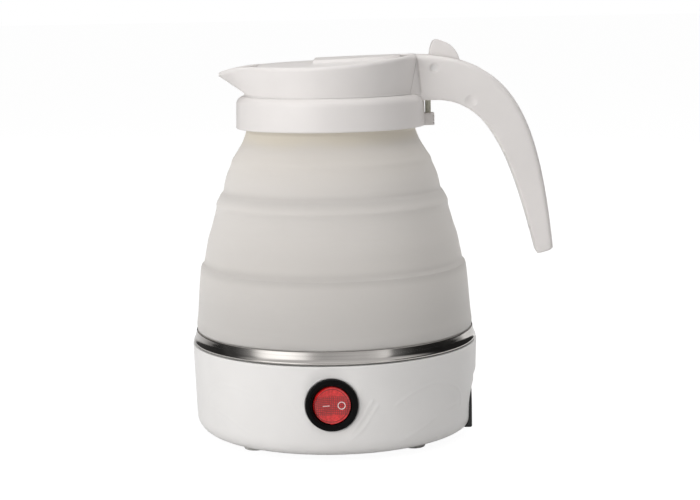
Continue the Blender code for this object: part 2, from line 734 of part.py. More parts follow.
def base_housing(finish):
    housing = add_object("base_housing", turned(base_profile()), finish)
    for index, degrees in enumerate(SCREW_ANGLES):
        fuse(housing, *screw_post(index, degrees))
    fuse(housing, *inlet_bosses())
    cut(housing, *base_cutters())
    for index, degrees in enumerate(SCREW_ANGLES):
        depth = SCREW_HEAD_BOTTOM + SCREW_HEAD_HEIGHT + SCREW_LENGTH + FIT
        cut(housing, screw_hole(f"post_hole_{index}", degrees, SCREW_RADIUS + FIT, SEAT_BOTTOM, depth))
    cut(housing, *inlet_screw_holes())
    return housing


def base_bottom_cover(finish):
    profile = [(0.0, COVER_BOTTOM), (COVER_PANEL_RADIUS, COVER_BOTTOM),
               (COVER_PANEL_RADIUS + COVER_STEP, COVER_RING_BOTTOM), (COVER_RADIUS, COVER_RING_BOTTOM),
               (COVER_RADIUS, COVER_TOP), (0.0, COVER_TOP)]
    cover = add_object("base_bottom_cover", turned(profile), finish)
    for index, degrees in enumerate(SCREW_ANGLES):
        boss = turned([(0.0, COVER_TOP - COVER_THICKNESS / 2), (POST_RADIUS, COVER_TOP - COVER_THICKNESS / 2),
                       (POST_RADIUS, COVER_TOP + BOSS_HEIGHT), (0.0, COVER_TOP + BOSS_HEIGHT)],
                      SMALL_STEPS, polar(SCREW_CIRCLE, degrees))
        fuse(cover, add_object(f"cover_boss_{index}", boss))
    for index, degrees in enumerate(SCREW_ANGLES):
        head_top = SCREW_HEAD_BOTTOM + SCREW_HEAD_HEIGHT + FIT
        cut(cover, screw_hole(f"head_recess_{index}", degrees, SCREW_HEAD_RADIUS + FIT, -OVERRUN, head_top))
        cut(cover, screw_hole(f"cover_hole_{index}", degrees, SCREW_RADIUS + FIT, -OVERRUN, POST_TOP))
    for index, degrees in enumerate(FOOT_ANGLES):
        place = polar(FOOT_CIRCLE, degrees)
        stem = turned([(0.0, -OVERRUN), (FOOT_STEM_RADIUS + FIT, -OVERRUN), (FOOT_STEM_RADIUS + FIT, POST_TOP),
                       (0.0, POST_TOP)], TINY_STEPS, place)
        cut(cover, add_object(f"foot_hole_{index}", stem))
    return cover


def rubber_feet(finish):
    pad_top = COVER_RING_BOTTOM - FIT
    sole = COVER_BOTTOM - FOOT_DROP
    profile = [(0.0, sole), (FOOT_RADIUS - FOOT_EDGE, sole), (FOOT_RADIUS, sole + FOOT_EDGE),
               (FOOT_RADIUS, pad_top), (FOOT_STEM_RADIUS, pad_top), (FOOT_STEM_RADIUS, COVER_TOP),
               (0.0, COVER_TOP)]
    places = [polar(FOOT_CIRCLE, degrees) for degrees in FOOT_ANGLES]
    add_copies("rubber_foot", turned(profile, SMALL_STEPS - 4), finish, places)


def cover_screws(finish):
    tip = SCREW_HEAD_HEIGHT + SCREW_LENGTH
    profile = [(0.0, 0.0), (SCREW_HEAD_RADIUS, 0.0), (SCREW_HEAD_RADIUS, SCREW_HEAD_HEIGHT),
               (SCREW_RADIUS, SCREW_HEAD_HEIGHT), (SCREW_RADIUS, tip - SCREW_RADIUS), (0.0, tip)]
    places = [polar(SCREW_CIRCLE, degrees, SCREW_HEAD_BOTTOM) for degrees in SCREW_ANGLES]
    add_copies("cover_screw", turned(profile, TINY_STEPS), finish, places)


# Vessel and heater


def steel_vessel(finish):
    profile = [
        (0.0, PAN_FLOOR),
        (PAN_RADIUS - PAN_ROUND, PAN_FLOOR),
        (PAN_RADIUS, PAN_FLOOR + PAN_ROUND),
        (PAN_RADIUS, LEDGE_BOTTOM),
        (BAND_FOOT_RADIUS, LEDGE_BOTTOM),
        (BAND_TOP_RADIUS, BAND_TOP),
        (BAND_TOP_RADIUS - STEEL, BAND_TOP),
        (BAND_FOOT_RADIUS - STEEL, LEDGE_TOP),
        (PAN_RADIUS - STEEL, LEDGE_TOP),
        (PAN_RADIUS - STEEL, PAN_FLOOR + PAN_ROUND),
        (PAN_RADIUS - PAN_ROUND, PAN_FLOOR + STEEL),
        (0.0, PAN_FLOOR + STEEL),
    ]
    return add_object("steel_vessel", turned(profile), finish)


def vessel_seal(finish):
    low = BASE_TOP + FIT
    high = low + SEAL_THICKNESS
    outer = BAND_FOOT_RADIUS - SEAL_SETBACK
    shape = turned([(RIM_BORE, low), (outer, low), (outer, high), (RIM_BORE, high)])
    return add_object("vessel_seal", shape, finish)


def silicone_clamp_ring(finish):
    outer = SILICONE_FOOT_BORE - FIT
    top = SILICONE_FOOT + CLAMP_HEIGHT
    foot_top = SILICONE_FOOT + CLAMP_THICKNESS
    profile = [(outer - CLAMP_THICKNESS - CLAMP_FOOT, SILICONE_FOOT), (outer, SILICONE_FOOT), (outer, top),
               (outer - CLAMP_THICKNESS, top), (outer - CLAMP_THICKNESS, foot_top),
               (outer - CLAMP_THICKNESS - CLAMP_FOOT, foot_top)]
    return add_object("silicone_clamp_ring", turned(profile), finish)


def heat_spreader(finish):
    plate = turned([(0.0, SPREADER_BOTTOM), (SPREADER_RADIUS, SPREADER_BOTTOM),
                    (SPREADER_RADIUS, SPREADER_TOP), (0.0, SPREADER_TOP)], 24)
    spreader = add_object("heat_spreader", plate, finish)
    tab = prism(rectangle(-BLADE_THICKNESS / 2, BLADE_THICKNESS / 2, EARTH_TAB_PLACE - BLADE_WIDTH / 2,
                          EARTH_TAB_PLACE + BLADE_WIDTH / 2),
                SPREADER_BOTTOM - EARTH_TAB_LENGTH, SPREADER_BOTTOM + SPREADER_THICKNESS / 2, ALONG_Z)
    fuse(spreader, add_object("earth_tab", tab))
    return spreader


def heating_element(finish):
    level = HEATER_TOP - ELEMENT_RADIUS
    half = ELEMENT_GAP_ANGLE / 2
    depths = (ELEMENT_DROP, ELEMENT_RADIUS)
    points = [polar(ELEMENT_CIRCLE, half, level - depth) for depth in depths]
    for step in range(ELEMENT_STEPS + 1):
        angle = mix(half, 360.0 - half, step / ELEMENT_STEPS)
        points.append(polar(ELEMENT_CIRCLE, angle, level))
    points += [polar(ELEMENT_CIRCLE, -half, level - depth) for depth in reversed(depths)]
    points[2] = polar(ELEMENT_CIRCLE, half + ELEMENT_GAP_ANGLE / 8, level)
    points[-3] = polar(ELEMENT_CIRCLE, -half - ELEMENT_GAP_ANGLE / 8, level)
    return tube("heating_element", points, ELEMENT_RADIUS, finish, 2)


def thermostat(finish):
    bottom = HEATER_TOP - THERMOSTAT_HEIGHT
    flange_bottom = HEATER_TOP - THERMOSTAT_FLANGE_THICKNESS
    flange = THERMOSTAT_RADIUS + THERMOSTAT_FLANGE
    profile = [(0.0, bottom), (THERMOSTAT_RADIUS, bottom), (THERMOSTAT_RADIUS, flange_bottom),
               (flange, flange_bottom), (flange, HEATER_TOP), (0.0, HEATER_TOP)]
    return add_object("thermostat", turned(profile, SMALL_STEPS), finish)


def thermostat_terminals(finish):
    blade = prism(rectangle(-BLADE_WIDTH / 2, BLADE_WIDTH / 2, -BLADE_THICKNESS / 2, BLADE_THICKNESS / 2),
                  -THERMOSTAT_BLADE_LENGTH, 0.0, ALONG_Z)
    level = HEATER_TOP - THERMOSTAT_HEIGHT - FIT
    places = [Vector((side * THERMOSTAT_BLADE_PLACE, 0.0, level)) for side in (-1, 1)]
    add_copies("thermostat_terminal", blade, finish, places)


def thermal_fuse(finish):
    lead = FUSE_RADIUS * FUSE_LEAD_SHARE
    body_end = FUSE_HALF_LENGTH - FUSE_RADIUS
    profile = [(0.0, -FUSE_HALF_LENGTH), (lead, -FUSE_HALF_LENGTH), (lead, -body_end), (FUSE_RADIUS, -body_end),
               (FUSE_RADIUS, body_end), (lead, body_end), (lead, FUSE_HALF_LENGTH), (0.0, FUSE_HALF_LENGTH)]
    shape = turned(profile, TINY_STEPS)
    turn = Matrix.Rotation(math.radians(90), 4, "Y")
    lift = Matrix.Translation((0.0, FUSE_PLACE, HEATER_TOP - FUSE_RADIUS))
    bmesh.ops.transform(shape, matrix=lift @ turn, verts=shape.verts)
    return add_object("thermal_fuse", shape, finish)


# Silicone wall


def tier_profile(bottom, top, foot, head, foot_bore, head_bore, shares):
    outer = [(mix(foot, head, across), mix(bottom, top, up)) for up, across in shares]
    inner = [(mix(foot_bore, head_bore, across), mix(bottom, top, up)) for up, across in shares]
    return outer, list(reversed(inner[:-1:2] + inner[-1:]))


def silicone_lower_tier(finish):
    bottom = BAND_TOP + FIT
    outer, inner = tier_profile(bottom, LOWER_TOP, LOWER_FOOT_RADIUS, LOWER_TOP_RADIUS,
                                LOWER_FOOT_RADIUS - SILICONE_WALL, LOWER_BORE, LOWER_CURVE_SHARES)
    tucked = [
        (SILICONE_FOOT_BORE, SILICONE_FOOT),
        (BAND_FOOT_RADIUS - STEEL - FIT, SILICONE_FOOT),
        (BAND_TOP_RADIUS - STEEL - FIT, bottom),
    ]
    return add_object("silicone_lower_tier", turned(tucked + outer + inner[:-1]), finish)


def silicone_middle_tier(finish, parent):
    outer, inner = tier_profile(MIDDLE_BOTTOM, MIDDLE_TOP, MIDDLE_FOOT_RADIUS, MIDDLE_TOP_RADIUS,
                                MIDDLE_FOOT_RADIUS - SILICONE_WALL, MIDDLE_BORE, MIDDLE_CURVE_SHARES)
    return add_object("silicone_middle_tier", turned(outer + inner), finish, place_of(parent), parent)


def silicone_upper_tier(finish, parent):
    outer, inner = tier_profile(UPPER_BOTTOM, NECK_FOOT, UPPER_FOOT_RADIUS, NECK_RADIUS,
                                UPPER_FOOT_RADIUS - SILICONE_WALL, NECK_BORE, UPPER_CURVE_SHARES)
    neck = [
        (COLLAR_BORE - FIT, COLLAR_BOTTOM + SILICONE_WALL),
        (COLLAR_BORE - FIT, NECK_TOP),
        (NECK_BORE, NECK_TOP),
    ]
    return add_object("silicone_upper_tier", turned(outer + neck + inner), finish, place_of(parent), parent)


# Head, collar and handle


def collar_ring(finish, parent):
    profile = [
        (COLLAR_BORE, COLLAR_BOTTOM),
        (COLLAR_RADIUS, COLLAR_BOTTOM),
        (COLLAR_RADIUS - COLLAR_DRAFT, COLLAR_TOP - COLLAR_ROUND),
    ]
    profile += arc((COLLAR_RADIUS - COLLAR_DRAFT - COLLAR_ROUND, COLLAR_TOP - COLLAR_ROUND),
                   COLLAR_ROUND, 30.0, 90.0, 2)
    profile.append((COLLAR_BORE, COLLAR_TOP))
    collar = add_object("collar_ring", turned(profile), finish, place_of(parent), parent)
    lug_root = (COLLAR_BORE + COLLAR_RADIUS) / 2
    lug = prism(rounded(lug_root, COLLAR_RADIUS + LUG_REACH, -LUG_HALF_WIDTH, LUG_HALF_WIDTH, FOOT_EDGE, 1),
                COLLAR_BOTTOM, COLLAR_BOTTOM + LUG_HEIGHT, ALONG_Z)
    fuse(collar, add_object("collar_lug", lug))
    cut(collar, tie_pin_hole("lug_hole", COLLAR_BOTTOM + LUG_HEIGHT + OVERRUN))
    return collar


def tie_pin_hole(name, top):
    outline = circle((COLLAR_RADIUS + TIE_PIN_OFFSET, 0.0), TIE_PIN_RADIUS + FIT, TINY_STEPS)
    return add_object(name, prism(outline, COLLAR_BOTTOM - OVERRUN, top, ALONG_Z))


def collar_tie_pin(finish, parent):
    outline = circle((COLLAR_RADIUS + TIE_PIN_OFFSET, 0.0), TIE_PIN_RADIUS, TINY_STEPS)
    shape = prism(outline, COLLAR_BOTTOM + FIT, GRIP_TOP + TIE_PIN_GRIP, ALONG_Z)
    return add_object("collar_tie_pin", shape, finish, place_of(parent), parent)


def rim_height(x):
    """Height of the head's rim above the ground: it dips to the beak and rises to the handle."""
    if x < RIM_TIP_START:
        share = (RIM_TIP_START - x) / (RIM_TIP_START + BEAK_REACH)
        return RIM_LEVEL - RIM_TIP_DROP * min(share, 1.0) ** 2
    share = max(x - RIM_RISE_START, 0.0) / (HEAD_FOOT_RADIUS - RIM_RISE_START)
    return RIM_LEVEL + RIM_RISE * min(share, 1.0) ** RIM_RISE_POWER


def rim_radius(degrees):
    """Radius of the head's rim: a circle whose tangents run out to the beak's nose."""
    from_beak = abs(math.radians((degrees % 360.0) - 180.0))
    nose = math.radians(BEAK_NOSE_ANGLE)
    spread = math.acos(HEAD_RIM_RADIUS / BEAK_REACH) + nose
    eased = math.hypot(from_beak, nose)
    return HEAD_RIM_RADIUS / math.cos(max(spread - eased, 0.0))


def head_section(degrees):
    """One upright section through the skirt, shoulder and wall, at an angle about the axis."""
    rim = rim_radius(degrees)
    height = rim_height(rim * math.cos(math.radians(degrees)))
    outline = [
        (SKIRT_RADIUS, SKIRT_BOTTOM),
        (SKIRT_RADIUS, HEAD_FOOT),
        (HEAD_FOOT_RADIUS, HEAD_FOOT),
        (rim, height - HEAD_RIM_EDGE),
        (rim - HEAD_RIM_EDGE / 3, height - HEAD_RIM_EDGE / 3),
        (rim - HEAD_RIM_EDGE, height),
        (rim - HEAD_WALL, height),
        (HEAD_FOOT_RADIUS - HEAD_WALL, HEAD_FOOT + BOWL_STEP),
        (SKIRT_RADIUS - SKIRT_WALL, HEAD_FOOT),
        (SKIRT_RADIUS - SKIRT_WALL, SKIRT_BOTTOM),
    ]
    return [polar(radius, degrees, level) for radius, level in outline]


def handle_curves():
    crest = HANDLE_TOP + HANDLE_CREST
    outer = [(HANDLE_ROOT, crest)]
    for reach, drop in OUTER_CURVE_SHARES:
        outer.append((mix(HANDLE_ROOT, HANDLE_REACH, reach), mix(crest, HANDLE_TIP, drop)))
    outer.append((HANDLE_REACH, HANDLE_TIP))
    inner = [(GRIP_ROOT, GRIP_TOP)]
    for reach, drop in INNER_CURVE_SHARES:
        inner.append((mix(GRIP_ROOT, GRIP_REACH, reach), mix(GRIP_TOP, GRIP_TIP, drop)))
    inner.append((GRIP_REACH, GRIP_TIP))
    return outer, inner


def handle_edges(share):
    """The outer and inner points of the handle at a share of its length, and its half width."""
    outer, inner = handle_curves()
    paired = share - PAIRING_SHARE * share * (1.0 - share)
    half_width = mix(HANDLE_HALF_WIDTH, TIP_HALF_WIDTH, share ** 2)
    return Vector(cubic(outer, share)), Vector(cubic(inner, paired)), half_width


def across_arm(inner, along, distance, side):
    """A point at a distance from the handle's inner edge towards its outer one, off to a side."""
    return Vector((inner.x + along.x * distance, side, inner.y + along.y * distance))


def handle_ring(outer, inner, half_width, shrink=0.0):
    """A rounded section between the handle's two edges."""
    along = (outer - inner).normalized()
    length = (outer - inner).length
    big = HANDLE_OUTER_ROUND
    small = HANDLE_INNER_ROUND
    corners = [(shrink, half_width - small), (small + shrink, half_width), (length - big, half_width),
               (length - big / 3, half_width - big / 3), (length - shrink, half_width - big)]
    points = [(distance, side - shrink) for distance, side in corners]
    points += [(distance, -side) for distance, side in reversed(points)]
    return [across_arm(inner, along, distance, side) for distance, side in points]


def handle_arm():
    crest = Vector((HANDLE_ROOT, HANDLE_TOP + HANDLE_CREST))
    sections = [handle_ring(crest, Vector((HANDLE_ROOT, GRIP_TOP)), HANDLE_HALF_WIDTH)]
    for index in range(1, HANDLE_SECTIONS + 1):
        outer, inner, half_width = handle_edges(index / HANDLE_SECTIONS)
        sections.append(handle_ring(outer, inner, half_width))
    outer, inner, half_width = handle_edges(1.0)
    before = handle_edges(1.0 - 1.0 / HANDLE_SECTIONS)
    onward = (outer - before[0]).normalized() * TIP_ROUND
    sections.append(handle_ring(outer + onward, inner + onward, half_width, TIP_ROUND))
    return add_object("handle_arm", loft(sections))


def channel_ring(share, low, high, side_gap):
    outer, inner, half_width = handle_edges(share)
    along = (outer - inner).normalized()
    far = high if high > 0.0 else (outer - inner).length + high
    side = half_width - HANDLE_SIDE_WALL - side_gap
    corners = [(low, side), (far, side), (far, -side), (low, -side)]
    return [across_arm(inner, along, distance, across) for distance, across in corners]


def channel_shares(trim):
    start = CHANNEL_START_SHARE + trim
    end = CHANNEL_END_SHARE - trim
    return [mix(start, end, index / (HANDLE_SECTIONS - 4)) for index in range(HANDLE_SECTIONS - 3)]


def handle_channel():
    """The hollow inside the handle, open towards the fingers."""
    sections = [channel_ring(share, -OVERRUN, -HANDLE_BACK_WALL, 0.0) for share in channel_shares(0.0)]
    return add_object("handle_channel", loft(sections))


def handle_inner_cover(finish, parent):
    """The strip that closes the hollow on the finger side."""
    handle_length = HANDLE_REACH - HANDLE_ROOT + HANDLE_TOP - HANDLE_TIP
    trim = 2 * FIT / handle_length
    sections = [channel_ring(share, 0.0, GRIP_COVER_THICKNESS, FIT) for share in channel_shares(trim)]
    return add_object("handle_inner_cover", loft(sections), finish, place_of(parent), parent)


def gusset(side):
    """A small facet that fills the corner between the round wall and the handle's flank."""
    flank = HANDLE_HALF_WIDTH - FIT
    low = HEAD_FOOT + FIT
    wall_x = math.sqrt(HEAD_FOOT_RADIUS ** 2 - (flank + GUSSET_WIDTH) ** 2) - FIT
    apex_x = math.sqrt(HEAD_RIM_RADIUS ** 2 - flank ** 2)
    shape = bmesh.new()
    corners = [
        (wall_x, side * (flank + GUSSET_WIDTH), low),
        (HEAD_FOOT_RADIUS + GUSSET_REACH, side * flank, low),
        (wall_x, side * (flank - GUSSET_WIDTH), low),
        (apex_x, side * flank, HANDLE_TOP - HEAD_RIM_EDGE),
        (apex_x - GUSSET_WIDTH / 2, side * (flank - GUSSET_WIDTH), HANDLE_TOP - HEAD_RIM_EDGE),
    ]
    made = [shape.verts.new(corner) for corner in corners]
    bmesh.ops.convex_hull(shape, input=made)
    return add_object(f"gusset_{side}", shape)


def lid_pocket():
    """The round pocket in the handle's root that the thumb lever turns in."""
    left_angle = math.degrees(math.acos((POCKET_LEFT - HINGE_X) / POCKET_RADIUS))
    outline = arc((HINGE_X, HINGE_Z), POCKET_RADIUS, -left_angle, POCKET_BACK_ANGLE, 14)
    outline += [(outline[-1][0], POCKET_TOP), (POCKET_LEFT, POCKET_TOP)]
    return add_object("lever_pocket", prism(outline, -SLOT_HALF_WIDTH, SLOT_HALF_WIDTH, ALONG_Y))


def arm_slot():
    """The gap in the head's wall that the lid's arm lies in."""
    outline = rectangle(SLOT_FLOOR, POCKET_TOP, LID_BACK, HINGE_X)
    return add_object("arm_slot", prism(outline, -SLOT_HALF_WIDTH, SLOT_HALF_WIDTH, ALONG_Y))


def cheek_cutters():
    """The pin's hole, its sunk eyes and the round dimple on each flank."""
    reach = HANDLE_HALF_WIDTH + OVERRUN
    made = [add_object("pin_hole", prism(circle((HINGE_X, HINGE_Z), HINGE_PIN_RADIUS + FIT, TINY_STEPS),
                                         -reach, reach, ALONG_Y))]
    for side in (-1, 1):
        floor = side * (HANDLE_HALF_WIDTH - HINGE_EYE_DEPTH)
        eye = prism(circle((HINGE_X, HINGE_Z), HINGE_EYE_RADIUS + FIT, TINY_STEPS),
                    min(floor, side * reach), max(floor, side * reach), ALONG_Y)
        made.append(add_object(f"pin_eye_{side}", eye))
        outer_wall = mix(HANDLE_HALF_WIDTH, TIP_HALF_WIDTH, DIMPLE_SHARE ** 2)
        floor = side * (outer_wall - DIMPLE_DEPTH)
        dimple = prism(circle((DIMPLE_PLACE, DIMPLE_HEIGHT), DIMPLE_RADIUS, SMALL_STEPS),
                       min(floor, side * reach), max(floor, side * reach), ALONG_Y)
        made.append(add_object(f"dimple_{side}", dimple))
    return made


def spout_head(finish, parent):
    """Skirt, round wall, beak and handle, which the real head has as one moulding."""
    sections = [head_section(360.0 * index / RING_STEPS) for index in range(RING_STEPS)]
    head = add_object("spout_head", closed_loft(sections), finish, place_of(parent), parent)
    arm = handle_arm()
    room_for_collar = turned([(0.0, COLLAR_BOTTOM), (COLLAR_RADIUS + FIT, COLLAR_BOTTOM),
                              (COLLAR_RADIUS + FIT, COLLAR_TOP + FIT), (0.0, COLLAR_TOP + FIT)])
    cut(arm, add_object("room_for_collar", room_for_collar))
    fuse(head, arm, gusset(-1), gusset(1))
    cut(head, arm_slot(), lid_pocket(), handle_channel(), *cheek_cutters())
    cut(head, tie_pin_hole("root_hole", GRIP_TOP + TIE_PIN_GRIP + FIT))
    return head


# Lid


def lid_level(x):
    """Height of the lid's face along its middle, which climbs to the hinge."""
    share = min((x - LID_FRONT) / (LID_BACK - LID_FRONT), 1.0)
    return RIM_LEVEL + mix(LID_CROWN_FRONT, LID_CROWN_BACK, share)


def lid_face(x, share):
    """Height of the crowned lid at a share of the way from its middle to its side."""
    return mix(lid_level(x), rim_height(x) - LID_SINK, share ** 2)


def lid_panel():
    """The raised panel behind the lid's pouring end."""
    sections = []
    for index in range(LID_SECTIONS // 2 + 1):
        x = mix(-LID_PANEL_OFFSET, LID_BACK - LID_EDGE, 2 * index / LID_SECTIONS)
        side = math.sqrt(LID_RADIUS ** 2 - x ** 2)
        places = [LID_PANEL_SHARE * share for share in LID_FACE_SHARES]
        places += [0.0] + [-place for place in reversed(places)]
        top = [Vector((x, side * place, lid_face(x, place) + LID_PANEL_RISE)) for place in places]
        under = [Vector((x, side * place, lid_face(x, place) - LID_SHELL / 2)) for place in reversed(places)]
        sections.append(top + under)
    return loft(sections)


def lid_sections(inset, bottom, lower_top):
    """Sections across the lid, from its straight front edge to its straight back edge."""
    radius = LID_RADIUS - inset
    front = LID_FRONT + inset
    back = LID_BACK - inset
    sections = []
    for index in range(LID_SECTIONS + 1):
        x = mix(front, back, 0.5 - 0.5 * math.cos(math.pi * index / LID_SECTIONS))
        side = math.sqrt(radius ** 2 - x ** 2)
        top = rim_height(x) - LID_SINK - lower_top
        edge = LID_EDGE if lower_top == 0.0 else 0.0
        half = [(side, bottom), (side, top - edge)]
        for share in LID_FACE_SHARES:
            half.append(((side - max(edge, FIT)) * share, lid_face(x, share) - lower_top))
        ring = half + [(0.0, lid_level(x) - lower_top)] + [(-across, level) for across, level in reversed(half)]
        sections.append([Vector((x, across, level)) for across, level in ring])
    return sections


def lever_outline():
    """Side outline of the lid's arm, hub and thumb lever."""
    pin = (HINGE_X, HINGE_Z)
    start = LID_BACK - LID_SHELL
    arm_top = lid_level(LID_BACK) + LID_PANEL_RISE
    outline = [(start, LID_BOTTOM), (start, arm_top - LID_EDGE), (LID_BACK, arm_top),
               (HEAD_FOOT_RADIUS, arm_top)]
    face = (
        (LEVER_HUB_RADIUS, LEVER_FOOT_ANGLE),
        (LEVER_RADIUS - LEVER_CORNER, LEVER_FACE_ANGLE),
        (LEVER_RADIUS + LEVER_PEAK / 2, LEVER_BROW_ANGLE),
        (LEVER_RADIUS + LEVER_PEAK, LEVER_PEAK_ANGLE),
    )
    for radius, degrees in face:
        corner = polar(radius, degrees)
        outline.append((HINGE_X + corner.x, HINGE_Z + corner.y))
    outline += arc(pin, LEVER_RADIUS, LEVER_CREST_ANGLE, LEVER_BACK_ANGLE, 7)
    outline += arc(pin, LEVER_HUB_RADIUS, 0.0, LEVER_UNDER_ANGLE, 7)
    outline.append((POCKET_LEFT, LID_BOTTOM))
    return outline


def lid(finish, parent):
    plate = add_object("lid", loft(lid_sections(0.0, LID_BOTTOM, 0.0)), finish, (HINGE_X, 0.0, HINGE_Z), parent)
    hollow = add_object("lid_hollow", loft(lid_sections(LID_SHELL, LID_BOTTOM - OVERRUN, LID_SHELL)))
    lever = add_object("lid_lever", prism(lever_outline(), -ARM_HALF_WIDTH, ARM_HALF_WIDTH, ALONG_Y))
    bore = add_object("lid_bore", prism(circle((HINGE_X, HINGE_Z), HINGE_PIN_RADIUS + FIT, TINY_STEPS),
                                        -SLOT_HALF_WIDTH, SLOT_HALF_WIDTH, ALONG_Y))
    cut(plate, hollow)
    fuse(plate, add_object("lid_panel", lid_panel()), lever)
    cut(plate, bore)
    return plate


def lid_hinge_pin(finish, parent):
    reach = HANDLE_HALF_WIDTH - HINGE_EYE_DEPTH
    outline = circle((HINGE_X, HINGE_Z), HINGE_PIN_RADIUS, TINY_STEPS)
    return add_object("lid_hinge_pin", prism(outline, -reach, reach, ALONG_Y), finish, place_of(parent), parent)


# Switch


def switch_housing(finish):
    well_floor = BEZEL_FRONT - ROCKER_WELL_DEPTH
    body_back = BEZEL_BACK - SWITCH_BODY_LENGTH
    profile = [
        (0.0, body_back),
        (SWITCH_BODY_RADIUS, body_back),
        (SWITCH_BODY_RADIUS, BEZEL_BACK),
        (BEZEL_RADIUS, BEZEL_BACK),
        (BEZEL_RADIUS, BEZEL_FRONT - BEZEL_EDGE),
        (BEZEL_RADIUS - BEZEL_EDGE, BEZEL_FRONT),
        (ROCKER_WELL_RADIUS, BEZEL_FRONT),
        (ROCKER_WELL_RADIUS, well_floor),
        (0.0, well_floor),
    ]
    shape = turned(profile, 32)
    face_front(shape)
    housing = add_object("switch_housing", shape, finish)
    reach = TRUNNION_TIP + FIT
    bearing = prism(circle((0.0, -ROCKER_PIVOT), TRUNNION_RADIUS + FIT, TINY_STEPS),
                    SWITCH_HEIGHT - reach, SWITCH_HEIGHT + reach, ALONG_Z)
    cut(housing, add_object("trunnion_bearing", bearing))
    return housing


def switch_rocker(finish, parent):
    """A barrel about the pivot, so its rim clears the well, with a shallow V across its face."""
    steps = 5
    profile = [(0.0, ROCKER_PIVOT - ROCKER_BACK)]
    for index in range(steps + 1):
        offset = mix(-ROCKER_BACK, ROCKER_FRONT, index / steps)
        profile.append((math.sqrt(ROCKER_RADIUS ** 2 - offset ** 2), ROCKER_PIVOT + offset))
    profile.append((0.0, ROCKER_PIVOT + ROCKER_FRONT))
    shape = turned(profile, 28)
    face_front(shape)
    pivot = Vector((0.0, -ROCKER_PIVOT, SWITCH_HEIGHT))
    rocker = add_object("switch_rocker", shape, finish, pivot, parent)
    valley = ROCKER_RADIUS * math.tan(math.radians(ROCKER_TILT_ANGLE))
    bottom = -ROCKER_PIVOT - ROCKER_FRONT + valley
    wedge = prism([(0.0, bottom), (ROCKER_RADIUS, bottom - valley), (ROCKER_RADIUS, bottom - valley - OVERRUN),
                   (-ROCKER_RADIUS, bottom - valley - OVERRUN), (-ROCKER_RADIUS, bottom - valley)],
                  SWITCH_HEIGHT - ROCKER_RADIUS - OVERRUN, SWITCH_HEIGHT + ROCKER_RADIUS + OVERRUN, ALONG_Z)
    trunnion = prism(circle((0.0, -ROCKER_PIVOT), TRUNNION_RADIUS, TINY_STEPS),
                     SWITCH_HEIGHT - TRUNNION_TIP, SWITCH_HEIGHT + TRUNNION_TIP, ALONG_Z)
    cutter = add_object("rocker_valley", wedge, None, pivot, rocker.parent)
    joiner = add_object("rocker_trunnion", trunnion, None, pivot, rocker.parent)
    cut(rocker, cutter)
    fuse(rocker, joiner)
    for piece in (rocker, cutter, joiner):
        piece.rotation_euler.z = math.radians(ROCKER_TILT_ANGLE)
    return rocker


def switch_terminals(finish):
    start = -(BEZEL_BACK - SWITCH_BODY_LENGTH - FIT)
    outline = rectangle(-BLADE_WIDTH / 2, BLADE_WIDTH / 2, -BLADE_THICKNESS / 2, BLADE_THICKNESS / 2)
    places = [Vector((place, start, SWITCH_HEIGHT)) for place in (-BLADE_SPACING, 0.0, BLADE_SPACING)]
    add_copies("switch_terminal", prism(outline, 0.0, BLADE_LENGTH, ALONG_Y), finish, places)


# Inlet


def inlet_housing(finish):
    back = INLET_FACE - INLET_DEPTH
    nose = prism(inlet_outline(), INLET_FACE - INLET_NOSE, INLET_FACE, ALONG_X)
    housing = add_object("inlet_housing", nose, finish)
    body = prism(inlet_body_outline(), back, INLET_FACE - INLET_NOSE / 2, ALONG_X)
    plate_front = INLET_FACE - INLET_PLATE_SETBACK
    plate = prism(rounded(-INLET_EAR_HALF_WIDTH, INLET_EAR_HALF_WIDTH, INLET_CENTRE - INLET_EAR_HALF_HEIGHT,
                          INLET_CENTRE + INLET_EAR_HALF_HEIGHT, INLET_SOCKET_ROUND, 2),
                  plate_front - INLET_PLATE_THICKNESS, plate_front, ALONG_X)
    fuse(housing, add_object("inlet_body", body), add_object("inlet_plate", plate))
    socket = prism(rounded(-INLET_SOCKET_HALF_WIDTH, INLET_SOCKET_HALF_WIDTH,
                           INLET_CENTRE - INLET_SOCKET_HALF_HEIGHT, INLET_CENTRE + INLET_SOCKET_HALF_HEIGHT,
                           INLET_SOCKET_ROUND, 3),
                   INLET_FACE - INLET_SOCKET_DEPTH, INLET_FACE + OVERRUN, ALONG_X)
    cut(housing, add_object("inlet_socket", socket))
    for index, place in enumerate((-PIN_SPACING, 0.0, PIN_SPACING)):
        hole = prism(circle((place, INLET_CENTRE), PIN_RADIUS + FIT, TINY_STEPS), back - OVERRUN,
                     INLET_FACE - INLET_SOCKET_DEPTH + OVERRUN / 2, ALONG_X)
        cut(housing, add_object(f"pin_hole_{index}", hole))
    for side in (-1, 1):
        hole = prism(circle((side * INLET_BOSS_PLACE, INLET_CENTRE), INLET_SCREW_RADIUS + FIT, TINY_STEPS),
                     plate_front - INLET_PLATE_THICKNESS - OVERRUN, plate_front + OVERRUN / 2, ALONG_X)
        cut(housing, add_object(f"plate_hole_{side}", hole))
    return housing


def inlet_pins(finish):
    tail = INLET_FACE - INLET_DEPTH - PIN_TAIL
    length = INLET_DEPTH + PIN_TAIL - PIN_SETBACK
    places = [Vector((tail, place, INLET_CENTRE)) for place in (-PIN_SPACING, 0.0, PIN_SPACING)]
    shape = prism(circle((0.0, 0.0), PIN_RADIUS, TINY_STEPS), 0.0, length, ALONG_X)
    add_copies("inlet_pin", shape, finish, places)


